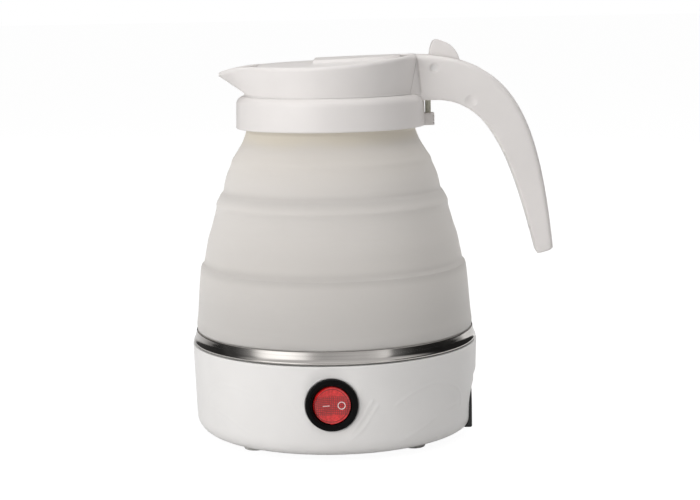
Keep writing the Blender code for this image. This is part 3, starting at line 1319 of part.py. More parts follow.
def inlet_screws(finish):
    head = INLET_FACE - INLET_PLATE_SETBACK - INLET_PLATE_THICKNESS - FIT
    profile = [(0.0, -INLET_SCREW_HEAD_HEIGHT), (INLET_SCREW_HEAD, -INLET_SCREW_HEAD_HEIGHT),
               (INLET_SCREW_HEAD, 0.0), (INLET_SCREW_RADIUS, 0.0), (INLET_SCREW_RADIUS, INLET_SCREW_LENGTH),
               (0.0, INLET_SCREW_LENGTH)]
    shape = turned(profile, TINY_STEPS)
    bmesh.ops.rotate(shape, verts=shape.verts, matrix=Matrix.Rotation(math.radians(90), 3, "Y"))
    places = [Vector((head, side * INLET_BOSS_PLACE, INLET_CENTRE)) for side in (-1, 1)]
    add_copies("inlet_screw", shape, finish, places)


# Wiring


def wire(name, places, finish):
    path = smooth_path([Vector(place) for place in places], WIRE_SPAN_STEPS)
    return tube(name, path, WIRE_RADIUS, finish, 1)


def wiring(finishes):
    """Six short leads between the inlet, switch, thermostat, fuse and element."""
    stub = 2 * WIRE_RADIUS
    low = WIRE_LEVEL
    pin_end = INLET_FACE - INLET_DEPTH - PIN_TAIL - FIT
    blade_y = -(BEZEL_BACK - SWITCH_BODY_LENGTH) + BLADE_LENGTH / 2
    blade_z = SWITCH_HEIGHT - BLADE_WIDTH / 2 - FIT
    element_x = ELEMENT_CIRCLE * math.cos(math.radians(ELEMENT_GAP_ANGLE / 2))
    element_y = ELEMENT_CIRCLE * math.sin(math.radians(ELEMENT_GAP_ANGLE / 2))
    element_z = HEATER_TOP - ELEMENT_RADIUS - ELEMENT_DROP - FIT
    thermostat_z = HEATER_TOP - THERMOSTAT_HEIGHT - THERMOSTAT_BLADE_LENGTH - 2 * FIT
    fuse_x = FUSE_HALF_LENGTH + FIT
    fuse_z = HEATER_TOP - FUSE_RADIUS
    tab_z = SPREADER_BOTTOM - EARTH_TAB_LENGTH - FIT
    wire("wire_neutral", [
        (pin_end, -PIN_SPACING, INLET_CENTRE),
        (pin_end - stub, -PIN_SPACING, INLET_CENTRE),
        (ELEMENT_CIRCLE, -PIN_SPACING - 2 * stub, low),
        (BLADE_SPACING + 4 * stub, blade_y + 3 * stub, low),
        (BLADE_SPACING, blade_y, low + 2 * stub),
        (BLADE_SPACING, blade_y, blade_z - stub),
        (BLADE_SPACING, blade_y, blade_z)], finishes["wire_blue"])
    wire("wire_switched", [
        (-BLADE_SPACING, blade_y, blade_z),
        (-BLADE_SPACING, blade_y, blade_z - stub),
        (-BLADE_SPACING, blade_y + stub, low + stub),
        (BLADE_SPACING, blade_y + 6 * stub, low),
        (EARTH_TAB_PLACE, -element_y - stub, low),
        (element_x, -element_y, element_z - stub),
        (element_x, -element_y, element_z)], finishes["wire_blue"])
    wire("wire_live", [
        (pin_end, PIN_SPACING, INLET_CENTRE),
        (pin_end - stub, PIN_SPACING, INLET_CENTRE),
        (EARTH_TAB_PLACE, 2 * stub, low - WIRE_RADIUS),
        (THERMOSTAT_BLADE_PLACE + stub, 0.0, low),
        (THERMOSTAT_BLADE_PLACE, 0.0, thermostat_z - stub),
        (THERMOSTAT_BLADE_PLACE, 0.0, thermostat_z)], finishes["wire_brown"])
    wire("wire_thermostat", [
        (-THERMOSTAT_BLADE_PLACE, 0.0, thermostat_z),
        (-THERMOSTAT_BLADE_PLACE, 0.0, thermostat_z - stub),
        (-THERMOSTAT_RADIUS, THERMOSTAT_BLADE_PLACE, low),
        (-THERMOSTAT_RADIUS - stub, FUSE_PLACE, (low + fuse_z) / 2),
        (-fuse_x - stub, FUSE_PLACE, fuse_z),
        (-fuse_x, FUSE_PLACE, fuse_z)], finishes["wire_brown"])
    wire("wire_fuse", [
        (fuse_x, FUSE_PLACE, fuse_z),
        (fuse_x + stub, FUSE_PLACE, fuse_z),
        (THERMOSTAT_RADIUS + stub, FUSE_PLACE, (low + fuse_z) / 2),
        (EARTH_TAB_PLACE + stub, FUSE_PLACE - 2 * stub, low),
        (element_x, element_y, element_z - stub),
        (element_x, element_y, element_z)], finishes["wire_brown"])
    wire("wire_earth", [
        (pin_end, 0.0, INLET_CENTRE),
        (pin_end - stub, 0.0, INLET_CENTRE),
        (EARTH_TAB_PLACE + 2 * stub, 0.0, low + WIRE_RADIUS),
        (EARTH_TAB_PLACE, 0.0, tab_z - stub),
        (EARTH_TAB_PLACE, 0.0, tab_z)], finishes["wire_green"])


# Assembly


def build_base(finish):
    base_housing(finish["white"])
    base_bottom_cover(finish["white"])
    rubber_feet(finish["rubber"])
    cover_screws(finish["zinc"])
    vessel_seal(finish["seal"])
    steel_vessel(finish["steel"])
    silicone_clamp_ring(finish["steel"])
    silicone_lower_tier(finish["silicone"])
    heat_spreader(finish["aluminium"])
    heating_element(finish["steel"])
    thermostat(finish["phenolic"])
    thermostat_terminals(finish["brass"])
    thermal_fuse(finish["aluminium"])
    wiring(finish)


def build_switch_and_inlet(finish):
    switch_housing(finish["black"])
    rocker_axis = add_axis("rocker_axis", (0.0, -ROCKER_PIVOT, SWITCH_HEIGHT))
    switch_rocker(finish["red"], rocker_axis)
    switch_terminals(finish["brass"])
    inlet_housing(finish["black"])
    inlet_pins(finish["brass"])
    inlet_screws(finish["zinc"])


def build_head(finish):
    collapse_axis = add_axis("collapse_axis", (0.0, 0.0, COLLAR_BOTTOM))
    middle_axis = add_axis("middle_tier_axis", (0.0, 0.0, MIDDLE_BOTTOM))
    silicone_middle_tier(finish["silicone"], middle_axis)
    silicone_upper_tier(finish["silicone"], collapse_axis)
    collar_ring(finish["white"], collapse_axis)
    collar_tie_pin(finish["zinc"], collapse_axis)
    spout_head(finish["white"], collapse_axis)
    handle_inner_cover(finish["white"], collapse_axis)
    lid_hinge_pin(finish["steel"], collapse_axis)
    hinge_axis = add_axis("lid_axis", (HINGE_X, 0.0, HINGE_Z), collapse_axis)
    lid(finish["white"], hinge_axis)


def main():
    clear_scene()
    finish = make_materials()
    build_base(finish)
    build_switch_and_inlet(finish)
    build_head(finish)
    print(f"collapse travel {COLLAPSE_TRAVEL * 1000:.1f} mm")


main()
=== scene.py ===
import math

import bmesh
import bpy
import numpy as np
from mathutils import Matrix, Vector

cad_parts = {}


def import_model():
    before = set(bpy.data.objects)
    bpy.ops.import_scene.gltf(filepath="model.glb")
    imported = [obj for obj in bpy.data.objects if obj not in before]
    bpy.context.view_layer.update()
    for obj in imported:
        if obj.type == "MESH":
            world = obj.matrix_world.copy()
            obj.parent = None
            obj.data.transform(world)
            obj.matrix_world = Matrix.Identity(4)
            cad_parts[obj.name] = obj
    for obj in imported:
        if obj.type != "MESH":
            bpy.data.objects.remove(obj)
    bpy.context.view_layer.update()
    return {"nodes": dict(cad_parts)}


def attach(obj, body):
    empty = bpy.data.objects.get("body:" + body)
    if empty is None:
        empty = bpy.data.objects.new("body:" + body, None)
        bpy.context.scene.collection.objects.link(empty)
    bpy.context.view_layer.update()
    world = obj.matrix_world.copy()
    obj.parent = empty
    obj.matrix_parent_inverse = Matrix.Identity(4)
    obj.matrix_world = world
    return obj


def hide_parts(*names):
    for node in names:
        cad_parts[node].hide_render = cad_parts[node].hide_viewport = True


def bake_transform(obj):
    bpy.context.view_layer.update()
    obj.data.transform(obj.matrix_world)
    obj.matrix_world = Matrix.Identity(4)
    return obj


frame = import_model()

# Sizes that the pieces share, in metres, in the row frame
BASE_WAIST, BASE_RADIUS, BASE_TOP = 0.0645, 0.0654, 0.0402
COLLAR_RADIUS, COLLAR_BORE, COLLAR_BOTTOM = 0.0430, 0.0392, 0.1380
HEAD_WALL, HEAD_FOOT_RADIUS, HEAD_RIM_RADIUS, HEAD_FOOT = 0.0027, 0.0389, 0.0403, 0.1529
SKIRT_RADIUS, SKIRT_BOTTOM = 0.0368, 0.1401
BEAK_REACH, BEAK_NOSE = 0.0506, math.radians(4.0)
RIM_LEVEL, RIM_TIP_DROP, RIM_TIP_START = 0.1662, 0.0025, -0.0340
RIM_RISE_START, RIM_RISE = -0.0080, 0.0039
HANDLE_ROOT, HANDLE_TOP, HANDLE_CREST, HANDLE_TIP, HANDLE_REACH = 0.0376, 0.1693, 0.1700, 0.0820, 0.1006
GRIP_ROOT, GRIP_TOP, GRIP_TIP, GRIP_REACH = 0.0456, 0.1495, 0.0799, 0.0929
HANDLE_HALF, TIP_HALF, TIP_ROUND = 0.0100, 0.0072, 0.0014
HINGE_X, HINGE_Z = 0.0472, 0.1640
SLOT_HALF, ARM_HALF = 0.0065, 0.0060
LID_FRONT, LID_BACK, LID_BOTTOM, LID_RADIUS = -0.0330, 0.0324, 0.1619, 0.0365
LID_NOSE, LID_NOSE_CURVE = 0.0025, 11.9
LID_SINK, LID_CROWN_FRONT, LID_CROWN_BACK = 0.0010, 0.0, 0.0028
PANEL_FRONT, PANEL_RISE, PANEL_SHARE = -0.0070, 0.0012, 0.55
POCKET_RADIUS, POCKET_LEFT = 0.0129, 0.0410
SWITCH_Z, SWITCH_SEAT, TILT = 0.0233, 0.0634, math.radians(8.0)
SWITCH_PLACE = (0.0, 0.0, SWITCH_Z)
TIE_PIN_X, PIN_RADIUS = 0.0444, 0.0015
EYE_RADIUS, EYE_DEPTH, DIMPLE_RADIUS, DIMPLE_DEPTH = 0.0022, 0.0010, 0.0033, 0.0008
INLET_FACE, INLET_CENTRE, INLET_HALF = 0.0622, 0.01265, 0.0218
FEET_LEVEL = -0.0029

# The camera that was fitted to the photograph: pixels, millimetres of sensor, metres, radians and degrees
IMAGE_WIDTH, FOCAL_PIXELS = 700.0, 1648.36
SENSOR_WIDTH = 36.0
CAMERA_PLACE, CAMERA_DOWN, CAMERA_ROLL = (0.00775, -0.752, 0.19076), 0.1452, -0.0185
CAMERA_DEGREES = 1.1
CAMERA_ORBIT = math.radians(CAMERA_DEGREES)

# What counts as on the axis and as no length, and the share of an edge that a corner's curve may take
ON_AXIS, NO_LENGTH, MOST_OF_EDGE = 1e-6, 1e-7, 0.48


# Geometry helpers


def mix(a, b, t):
    return a + (b - a) * t


def smooth(t):
    t = np.clip(t, 0.0, 1.0)
    return t * t * (3 - 2 * t)


def arc(centre, radius, start, end, steps):
    turn = [math.radians(mix(start, end, i / steps)) for i in range(steps + 1)]
    return [(centre[0] + radius * math.cos(a), centre[1] + radius * math.sin(a)) for a in turn]


def circle(centre, radius, steps=48):
    turn = [math.tau * i / steps for i in range(steps)]
    return [(centre[0] + radius * math.cos(a), centre[1] + radius * math.sin(a)) for a in turn]


def soften(points, steps=4):
    """A closed outline of (x, y) or (x, y, cut): each corner with a cut becomes a small curve."""
    out = []
    count = len(points)
    for i, point in enumerate(points):
        if len(point) == 2:
            out.append(tuple(point))
            continue
        here, cut = Vector(point[:2]), point[2]
        before = Vector(points[i - 1][:2]) - here
        after = Vector(points[(i + 1) % count][:2]) - here
        a = here + before.normalized() * min(cut, before.length * MOST_OF_EDGE)
        b = here + after.normalized() * min(cut, after.length * MOST_OF_EDGE)
        for k in range(steps + 1):
            t = k / steps
            p = a * (1 - t) ** 2 + here * 2 * t * (1 - t) + b * t * t
            out.append((p.x, p.y))
    return out


def curve_through(points, per_span):
    """A smooth open curve through the points."""
    ends = [tuple(2 * a - b for a, b in zip(points[0], points[1]))]
    tail = [tuple(2 * a - b for a, b in zip(points[-1], points[-2]))]
    full = ends + list(points) + tail
    out = []
    for i in range(1, len(full) - 2):
        p0, p1, p2, p3 = (np.array(p) for p in full[i - 1:i + 3])
        for k in range(per_span):
            t = k / per_span
            out.append(tuple(0.5 * (2 * p1 + (p2 - p0) * t + (2 * p0 - 5 * p1 + 4 * p2 - p3) * t * t
                                    + (3 * p1 - p0 - 3 * p2 + p3) * t ** 3)))
    return out + [tuple(points[-1])]


def skin(rings, closed=False):
    """Skin rings of equal count; closed joins the last ring to the first, and open ends get caps."""
    count = len(rings[0])
    verts = [p for ring in rings for p in ring]
    faces = []
    spans = len(rings) if closed else len(rings) - 1
    for i in range(spans):
        a, b = i * count, ((i + 1) % len(rings)) * count
        faces += [(a + k, a + (k + 1) % count, b + (k + 1) % count, b + k) for k in range(count)]
    if not closed:
        faces.append(tuple(range(count)))
        faces.append(tuple(reversed(range(len(verts) - count, len(verts)))))
    shape = bmesh.new()
    made = [shape.verts.new(v) for v in verts]
    for face in faces:
        shape.faces.new([made[i] for i in face])
    return shape


def turned(profile, steps=128, centre=(0.0, 0.0)):
    """A closed outline of (radius, height), spun about the vertical axis."""
    rings = []
    for i in range(steps):
        a = math.tau * i / steps
        rings.append([(centre[0] + r * math.cos(a), centre[1] + r * math.sin(a), z) for r, z in profile])
    shape = skin(rings, closed=True)
    axis = [v for v in shape.verts if math.hypot(v.co.x - centre[0], v.co.y - centre[1]) < ON_AXIS]
    if axis:
        bmesh.ops.remove_doubles(shape, verts=axis, dist=ON_AXIS)
        degenerate = [e for e in shape.edges if e.calc_length() < NO_LENGTH]
        bmesh.ops.dissolve_degenerate(shape, dist=NO_LENGTH, edges=degenerate)
    return shape


def prism(outline, low, high, axis):
    """An outline extruded along x, y or z. Its points are (y, z), (x, z) or (x, y)."""
    at = "xyz".index(axis)
    return skin([[(*p[:at], level, *p[at:]) for p in outline] for level in (low, high)])


def rounded(left, right, low, high, cut, steps=6):
    return soften([(left, low, cut), (right, low, cut), (right, high, cut), (left, high, cut)], steps)


def lay(shape, axis, place, degrees=90.0):
    """Turn a shape round the X, Y or Z axis, and move it to its place."""
    turn = Matrix.Translation(place) @ Matrix.Rotation(math.radians(degrees), 4, axis)
    bmesh.ops.transform(shape, matrix=turn, verts=shape.verts)
    return shape


def on_circle(radius, degrees):
    a = math.radians(degrees)
    return radius * math.cos(a), radius * math.sin(a)


def ball_radius(radius, depth):
    """The radius of the ball that presses a dish of this radius and depth."""
    return (radius ** 2 + depth ** 2) / (2 * depth)


def linked(name, data):
    made = bpy.data.objects.new(name, data)
    bpy.context.scene.collection.objects.link(made)
    return made


def obj(name, shape, finish=None):
    bmesh.ops.recalc_face_normals(shape, faces=shape.faces)
    mesh = bpy.data.meshes.new(name)
    shape.to_mesh(mesh)
    shape.free()
    if finish:
        mesh.materials.append(finish)
    return linked(name, mesh)


def settle(thing):
    """Turn a piece's modifiers into its mesh."""
    bpy.context.view_layer.update()
    ready = thing.evaluated_get(bpy.context.evaluated_depsgraph_get())
    mesh = bpy.data.meshes.new_from_object(ready)
    thing.modifiers.clear()
    thing.data = mesh
    return thing


def combine(thing, operation, *others):
    for other in others:
        step = thing.modifiers.new("b", "BOOLEAN")
        step.operation = operation
        step.solver = "EXACT"
        step.object = other
        settle(thing)
        bpy.data.objects.remove(other)
    return thing


def cut(thing, *shapes):
    return combine(thing, "DIFFERENCE", *[obj("cutter", s) for s in shapes])


def fuse(thing, *shapes):
    extras = [s if isinstance(s, bpy.types.Object) else obj("extra", s) for s in shapes]
    return combine(thing, "UNION", *extras)


def bevel(thing, width, segments=3, angle=35.0):
    step = thing.modifiers.new("bevel", "BEVEL")
    step.width = width
    step.segments = segments
    step.limit_method = "ANGLE"
    step.angle_limit = math.radians(angle)
    return settle(thing)


def shade(thing, angle=32.0):
    thing.data.shade_smooth()
    thing.data.set_sharp_from_angle(angle=math.radians(angle))
    return thing


def dress(thing, body, nodes=(), angle=32.0):
    shade(thing, angle)
    even = thing.modifiers.new("even", "WEIGHTED_NORMAL")
    even.keep_sharp = True
    settle(thing)
    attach(thing, body)
    if nodes:
        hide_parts(*nodes)
    return thing


# Materials


class Nodes:
    """A node tree: nodes are added by kind, and wired by name or in order."""

    def __init__(self, tree):
        self.tree = tree

    def plug(self, socket, value):
        if isinstance(value, bpy.types.NodeSocket):
            self.tree.links.new(value, socket)
        else:
            socket.default_value = value

    def set(self, node, **inputs):
        for key, value in inputs.items():
            self.plug(node.inputs[key], value)

    def add(self, kind, **inputs):
        node = self.tree.nodes.new(f"ShaderNode{kind}")
        self.set(node, **inputs)
        return node

    def join(self, kind, *values, operation=None):
        """Add a node, give its inputs these values in order, and return its first output."""
        node = self.tree.nodes.new(f"ShaderNode{kind}")
        if operation:
            node.operation = operation
        for socket, value in zip(node.inputs, values):
            self.plug(socket, value)
        return node.outputs[0]

    def math(self, operation, a, b=0.0):
        return self.join("Math", a, b, operation=operation)

    def ramp(self, factor, stops, blend="EASE"):
        made = self.add("ValToRGB", Fac=factor)
        band = made.color_ramp
        band.interpolation = blend
        while len(band.elements) < len(stops):
            band.elements.new(0.5)
        for element, (place, colour) in zip(band.elements, stops):
            element.position = place
            element.color = (*colour, 1.0) if isinstance(colour, tuple) else (colour, colour, colour, 1.0)
        return made.outputs["Color"]


class Look(Nodes):
    """A procedural material on the standard shader."""

    def __init__(self, name, colour, roughness, metallic=0.0, **more):
        self.mat = bpy.data.materials.new(name)
        self.mat.use_nodes = True
        super().__init__(self.mat.node_tree)
        self.bsdf = self.tree.nodes["Principled BSDF"]
        self.coords = self.add("TexCoord").outputs["Object"]
        self.set(self.bsdf, **{"Base Color": (*colour, 1.0), "Roughness": roughness, "Metallic": metallic})
        self.set(self.bsdf, **{key.replace("_", " "): value for key, value in more.items()})

    def noise(self, scale, detail=2.0, stretch=None):
        coords = self.coords
        if stretch:
            mapped = self.add("Mapping", Scale=stretch, Vector=coords)
            coords = mapped.outputs["Vector"]
        made = self.add("TexNoise", Scale=scale, Detail=detail, Vector=coords)
        return made.outputs["Fac"]

    def axis(self, name):
        return self.add("SeparateXYZ", Vector=self.coords).outputs[name]

    def colour(self, factor, stops):
        self.set(self.bsdf, **{"Base Color": self.ramp(factor, stops)})

    def roughness(self, factor, low, high):
        made = self.add("MapRange", Value=factor)
        self.set(made, **{"To Min": low, "To Max": high})
        self.set(self.bsdf, Roughness=made.outputs["Result"])

    def bump(self, height, strength, distance, normal=None):
        made = self.add("Bump", Height=height, Strength=strength, Distance=distance)
        if normal:
            self.set(made, Normal=normal)
        self.set(self.bsdf, Normal=made.outputs["Normal"])
        return made.outputs["Normal"]


def plastic(name, colour, roughness, edge=0.0, grain=1.0, shine=0.5):
    """Moulded plastic: faint clouding, a fine spark-eroded grain and softened edges."""
    look = Look(name, colour, roughness)
    look.set(look.bsdf, **{"Specular IOR Level": shine})
    dark = tuple(c * 0.965 for c in colour)
    look.colour(look.noise(38.0, 3.0), [(0.3, dark), (0.7, colour)])
    look.roughness(look.noise(160.0, 2.0), roughness - 0.05, roughness + 0.07)
    normal = None
    if edge:
        soft = look.add("Bevel", Radius=edge)
        soft.samples = 6
        normal = soft.outputs["Normal"]
    look.bump(look.noise(2600.0, 1.0), 0.10 * grain, 0.0001, normal)
    return look.mat


def metal(name, colour, roughness, stretch, strength=0.25, anisotropy=0.0):
    """Metal with fine drawn lines along one direction."""
    look = Look(name, colour, roughness, 1.0, Anisotropic=anisotropy)
    lines = look.noise(900.0, 3.0, stretch)
    look.colour(lines, [(0.25, tuple(c * 0.86 for c in colour)), (0.75, colour)])
    look.roughness(lines, roughness - 0.06, roughness + 0.08)
    look.bump(lines, strength, 0.00005)
    return look


# The silicone's tone by height, with painted shade darker towards the bottom and under the collar, the depth
# of its clouding, and the painted shade at its two folds
SILICONE_TONES_AND_SHADE = [(0.215, (0.44, 0.425, 0.41)), (0.26, (0.54, 0.52, 0.50)), (0.37, (0.61, 0.584, 0.558)),
                  (0.55, (0.66, 0.632, 0.605)), (0.645, (0.665, 0.63, 0.59)), (0.682, (0.68, 0.63, 0.54)),
                  (0.75, (0.55, 0.50, 0.43))]
TONES_PER_METRE, CLOUDING = 5.0, 0.05
FOLD_LEVELS, FOLD_REACH, FOLD_SHADE = (0.0760, 0.1084), 0.0042, 0.86


def silicone_look():
    """Milky silicone with painted shade, darker towards the bottom, under the collar and at its two folds;
    the faint emission stands for the light that passes through the wall.
    """
    look = Look("silicone", (0.60, 0.58, 0.55), 0.50)
    calc = look.math
    look.set(look.bsdf, **{"Subsurface Weight": 0.30, "Subsurface Radius": (1.0, 1.0, 1.0),
                           "Subsurface Scale": 0.005, "Diffuse Roughness": 1.0, "Sheen Weight": 0.05,
                           "Emission Strength": 0.06, "Emission Color": (1.0, 0.96, 0.90, 1.0)})
    up = look.axis("Z")
    cloud = calc("MULTIPLY", look.noise(22.0, 3.0, (1.0, 1.0, 1.6)), CLOUDING)
    level = calc("ADD", calc("MULTIPLY", up, TONES_PER_METRE), calc("SUBTRACT", cloud, CLOUDING / 2))
    # Painted shade: the tone darkens towards the bottom and under the collar, and grows warmer towards the
    # neck
    tone_and_shade = look.ramp(level, SILICONE_TONES_AND_SHADE)
    # Painted shade: darker bands at the two folds
    folds = []
    for height in FOLD_LEVELS:
        away = calc("ABSOLUTE", calc("SUBTRACT", up, height))
        folds.append(calc("SUBTRACT", 1.0, calc("DIVIDE", away, FOLD_REACH)))
    shadow = look.ramp(calc("MAXIMUM", *folds), [(0.0, 1.0), (1.0, FOLD_SHADE)])
    shaded = look.join("VectorMath", tone_and_shade, shadow, operation="MULTIPLY")
    look.set(look.bsdf, **{"Base Color": shaded})
    look.roughness(look.noise(70.0, 2.0), 0.44, 0.60)
    waves = look.noise(60.0, 2.0, (0.6, 0.6, 6.0))
    grain = calc("MULTIPLY", look.noise(1800.0, 1.0), 0.05)
    look.bump(calc("ADD", waves, grain), 0.35, 0.0004)
    return look.mat


def steel_look():
    look = metal("stainless_steel", (0.65, 0.62, 0.59), 0.09, (0.02, 0.02, 1.0), 0.08, 0.3)
    tangent = look.add("Tangent")
    tangent.direction_type = "RADIAL"
    tangent.axis = "Z"
    look.set(look.bsdf, Tangent=tangent.outputs["Tangent"])
    return look.mat


# The lens's grid pitch, the share of a line in it, half the height of its band, and its ring's two radii
LENS_GRID, LENS_LINE, LENS_BAND, LENS_RING = 0.00082, 0.45, 0.0041, (0.0070, 0.0073)


def red_look():
    """Tinted rocker lens: a fine grid shows through a band across its middle."""
    look = Look("red_lens", (0.70, 0.02, 0.02), 0.16)
    calc = look.math
    look.set(look.bsdf, **{"Subsurface Weight": 0.25, "Subsurface Radius": (1.0, 0.2, 0.15),
                           "Subsurface Scale": 0.003, "Coat Weight": 0.5})
    across, up = look.axis("X"), calc("SUBTRACT", look.axis("Z"), SWITCH_Z)
    lines = []
    for place in (across, up):
        wave = calc("ABSOLUTE", calc("SINE", calc("MULTIPLY", place, math.pi / LENS_GRID)))
        lines.append(calc("LESS_THAN", wave, LENS_LINE))
    grid = calc("MAXIMUM", *lines)
    band = calc("LESS_THAN", calc("ABSOLUTE", up), LENS_BAND)
    squares = calc("ADD", calc("MULTIPLY", across, across), calc("MULTIPLY", up, up))
    distance = calc("SQRT", squares)
    ring = calc("MULTIPLY", calc("GREATER_THAN", distance, LENS_RING[0]),
                calc("LESS_THAN", distance, LENS_RING[1]))
    dark = calc("MAXIMUM", calc("MULTIPLY", calc("MULTIPLY", grid, band), 0.55), calc("MULTIPLY", ring, 0.6))
    cloud = calc("MULTIPLY", look.noise(1100.0, 3.0), 0.55)
    tones = [(0.10, (0.88, 0.035, 0.035)), (0.38, (0.56, 0.012, 0.012)), (0.85, (0.16, 0.006, 0.008))]
    look.colour(calc("ADD", dark, cloud), tones)
    look.roughness(look.noise(300.0), 0.12, 0.22)
    look.bump(look.noise(700.0), 0.06, 0.0001)
    return look.mat


WHITE = (0.803, 0.786, 0.770)
HEAD_WHITE = (0.808, 0.774, 0.755)
mats = {
    "white": plastic("white_plastic", WHITE, 0.36),
    "head": plastic("white_plastic_head", HEAD_WHITE, 0.36, 0.0008),
    "base": plastic("white_plastic_base", WHITE, 0.38, 0.0003),
    "silicone": silicone_look(),
    "steel": steel_look(),
    "gloss_black": plastic("gloss_black", (0.0015, 0.0015, 0.0015), 0.22, 0.0003, 0.4, 0.1),
    "black": plastic("black_plastic", (0.007, 0.007, 0.007), 0.34),
    "red": red_look(),
    "mark": plastic("white_print", (0.85, 0.84, 0.83), 0.5),
    "pin": plastic("tie_pin", (0.48, 0.48, 0.40), 0.45, 0.0002),
    "rubber": plastic("grey_rubber", (0.56, 0.55, 0.53), 0.75, 0.0, 3.0),
    "seal": plastic("dark_seal", (0.20, 0.20, 0.19), 0.65, 0.0, 2.0),
    "phenolic": plastic("phenolic", (0.14, 0.11, 0.09), 0.50),
    "brass": metal("brass", (0.75, 0.58, 0.28), 0.32, (0.1, 1.0, 1.0)).mat,
    "zinc": metal("zinc_steel", (0.60, 0.60, 0.58), 0.38, (1.0, 1.0, 0.1)).mat,
    "aluminium": metal("cast_aluminium", (0.66, 0.66, 0.66), 0.45, (1.0, 1.0, 1.0)).mat,
}
for name, colour in (("blue", (0.05, 0.15, 0.55)), ("brown", (0.22, 0.09, 0.03)),
                     ("green", (0.25, 0.50, 0.06))):
    mats[name] = plastic(f"{name}_insulation", colour, 0.45)


# Silicone wall: one moulding whose three tiers fold into each other

# Each tier's shape, as shares of its height and of its change in radius
LOWER = ((0.0, 0.0), (0.24, 0.26), (0.62, 0.54), (0.83, 0.72), (0.93, 0.84), (1.0, 1.0))
MIDDLE = ((0.0, 0.0), (0.18, 0.13), (0.35, 0.26), (0.52, 0.46), (0.78, 0.73), (0.87, 0.76), (1.0, 1.0))
UPPER = ((0.0, 0.0), (0.23, 0.125), (0.43, 0.32), (0.53, 0.40), (0.63, 0.555), (0.82, 0.83), (1.0, 1.0))
# Each tier's lowest and highest level, and its radius at each, for the lower, middle and upper tier
OUTSIDE = ((0.0484, 0.0761, 0.0635, 0.0605), (0.0774, 0.1082, 0.0593, 0.0509),
           (0.1097, 0.1364, 0.0497, 0.0385))
INSIDE = ((0.0470, 0.0740, 0.0617, 0.0597), (0.0750, 0.1062, 0.0575, 0.0502),
          (0.1072, 0.1364, 0.0480, 0.0371))


def tier(shares, low, high, foot, head):
    points = [(mix(foot, head, across), mix(low, high, up)) for up, across in shares]
    return curve_through(points, 6)[1:-1]


def silicone_wall():
    outline = [(0.0610, 0.0422, 0.0002), (0.0634, 0.0422, 0.0003), (0.0620, 0.0463, 0.0002),
               (0.0634, 0.0464, 0.0016)]
    outline += tier(LOWER, *OUTSIDE[0])
    outline += [(0.0605, 0.0758, 0.0010), (0.0593, 0.0772, 0.0010)]
    outline += tier(MIDDLE, *OUTSIDE[1])
    outline += [(0.0509, 0.1082, 0.0010), (0.0497, 0.1095, 0.0010)]
    outline += tier(UPPER, *OUTSIDE[2])
    outline += [(0.0385, 0.1364, 0.0005), (0.0389, 0.1400, 0.0002), (0.0389, 0.1526, 0.0004),
                (0.0371, 0.1526, 0.0004), (0.0371, 0.1370, 0.0005)]
    outline += reversed(tier(UPPER, *INSIDE[2]))
    outline += [(0.0481, 0.1071, 0.0006), (0.0501, 0.1061, 0.0006)]
    outline += reversed(tier(MIDDLE, *INSIDE[1]))
    outline += [(0.0575, 0.0749, 0.0006), (0.0596, 0.0739, 0.0006)]
    outline += reversed(tier(LOWER, *INSIDE[0]))
    outline.append((0.0614, 0.0460, 0.0003))
    wall = obj("silicone_wall", turned(soften(outline, 4), 256), mats["silicone"])
    shade(wall, 60.0)
    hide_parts("silicone_lower_tier", "silicone_middle_tier", "silicone_upper_tier")
    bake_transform(wall)


# Base

# Leaf lines right of the switch: points of (degrees from the camera's side, millimetres up), and heights
RELIEF = [
    [(22.7, 20.5), (28.7, 24.5), (35.6, 27.4), (45.7, 28.2), (56.5, 23.6), (60.1, 18.2), (59.6, 14.0)],
    [(24.0, 4.0), (29.0, 6.5), (35.7, 9.5), (45.9, 14.2), (58.4, 16.8)],
    [(17.2, 23.3), (14.2, 18.3), (11.0, 12.8), (7.1, 8.6), (4.2, 6.6)],
    [(15.0, 25.4), (12.4, 20.6), (8.9, 14.6), (5.0, 10.0)],
]
RELIEF_HEIGHTS = (0.00022, 0.00020, 0.00018, 0.00020)
# Left of the switch the same lines run mirrored, at this share of their height
LEFT_RELIEF = 0.35
# The radius that degrees are laid out on, a line's half width, both in millimetres, and the share that fades
RELIEF_RADIUS, RELIEF_LINE, RELIEF_FADE = 65.0, 0.62, 0.06
RELIEF_LOW, RELIEF_HIGH, RELIEF_TOP, RELIEF_TOP_FADE = 0.004, 0.0391, 0.0380, 0.003
WALL_LOW, WALL_HIGH, WALL_STEPS = 0.0072, 0.0390, 64
# The flat that the switch sits in
FLAT_Y, FLAT_REACH, FLAT_FADE = -0.06405, 0.0176, 0.0060
SWITCH_RIM_RADIUS, SWITCH_HOLE_RADIUS, CUT_END = 0.0117, 0.0102, 0.07
SCREW_CIRCLE, FOOT_CIRCLE = 0.0475, 0.05


def relief(degrees, height):
    """How far the moulded leaf lines stand out of the base's wall, in metres."""
    out = np.zeros_like(degrees)
    along = np.radians(degrees) * RELIEF_RADIUS
    up = height * 1000.0
    for side, share in ((1.0, 1.0), (-1.0, LEFT_RELIEF)):
        for line, line_height in zip(RELIEF, RELIEF_HEIGHTS):
            path = np.array([(math.radians(d + CAMERA_DEGREES) * RELIEF_RADIUS * side, z)
                             for d, z in curve_through(line, 5)])
            length = len(path) - 1
            best = np.full_like(degrees, 1e9)
            where = np.zeros_like(degrees)
            for i in range(length):
                a, b = path[i], path[i + 1]
                span = b - a
                t = np.clip(((along - a[0]) * span[0] + (up - a[1]) * span[1]) / (span @ span), 0, 1)
                gap = np.hypot(along - a[0] - span[0] * t, up - a[1] - span[1] * t)
                nearer = gap < best
                best = np.where(nearer, gap, best)
                where = np.where(nearer, (i + t) / length, where)
            fade = smooth(where / RELIEF_FADE) * smooth((1.0 - where) / RELIEF_FADE)
            out += line_height * share * np.exp(-(best / RELIEF_LINE) ** 2) * fade
    return out


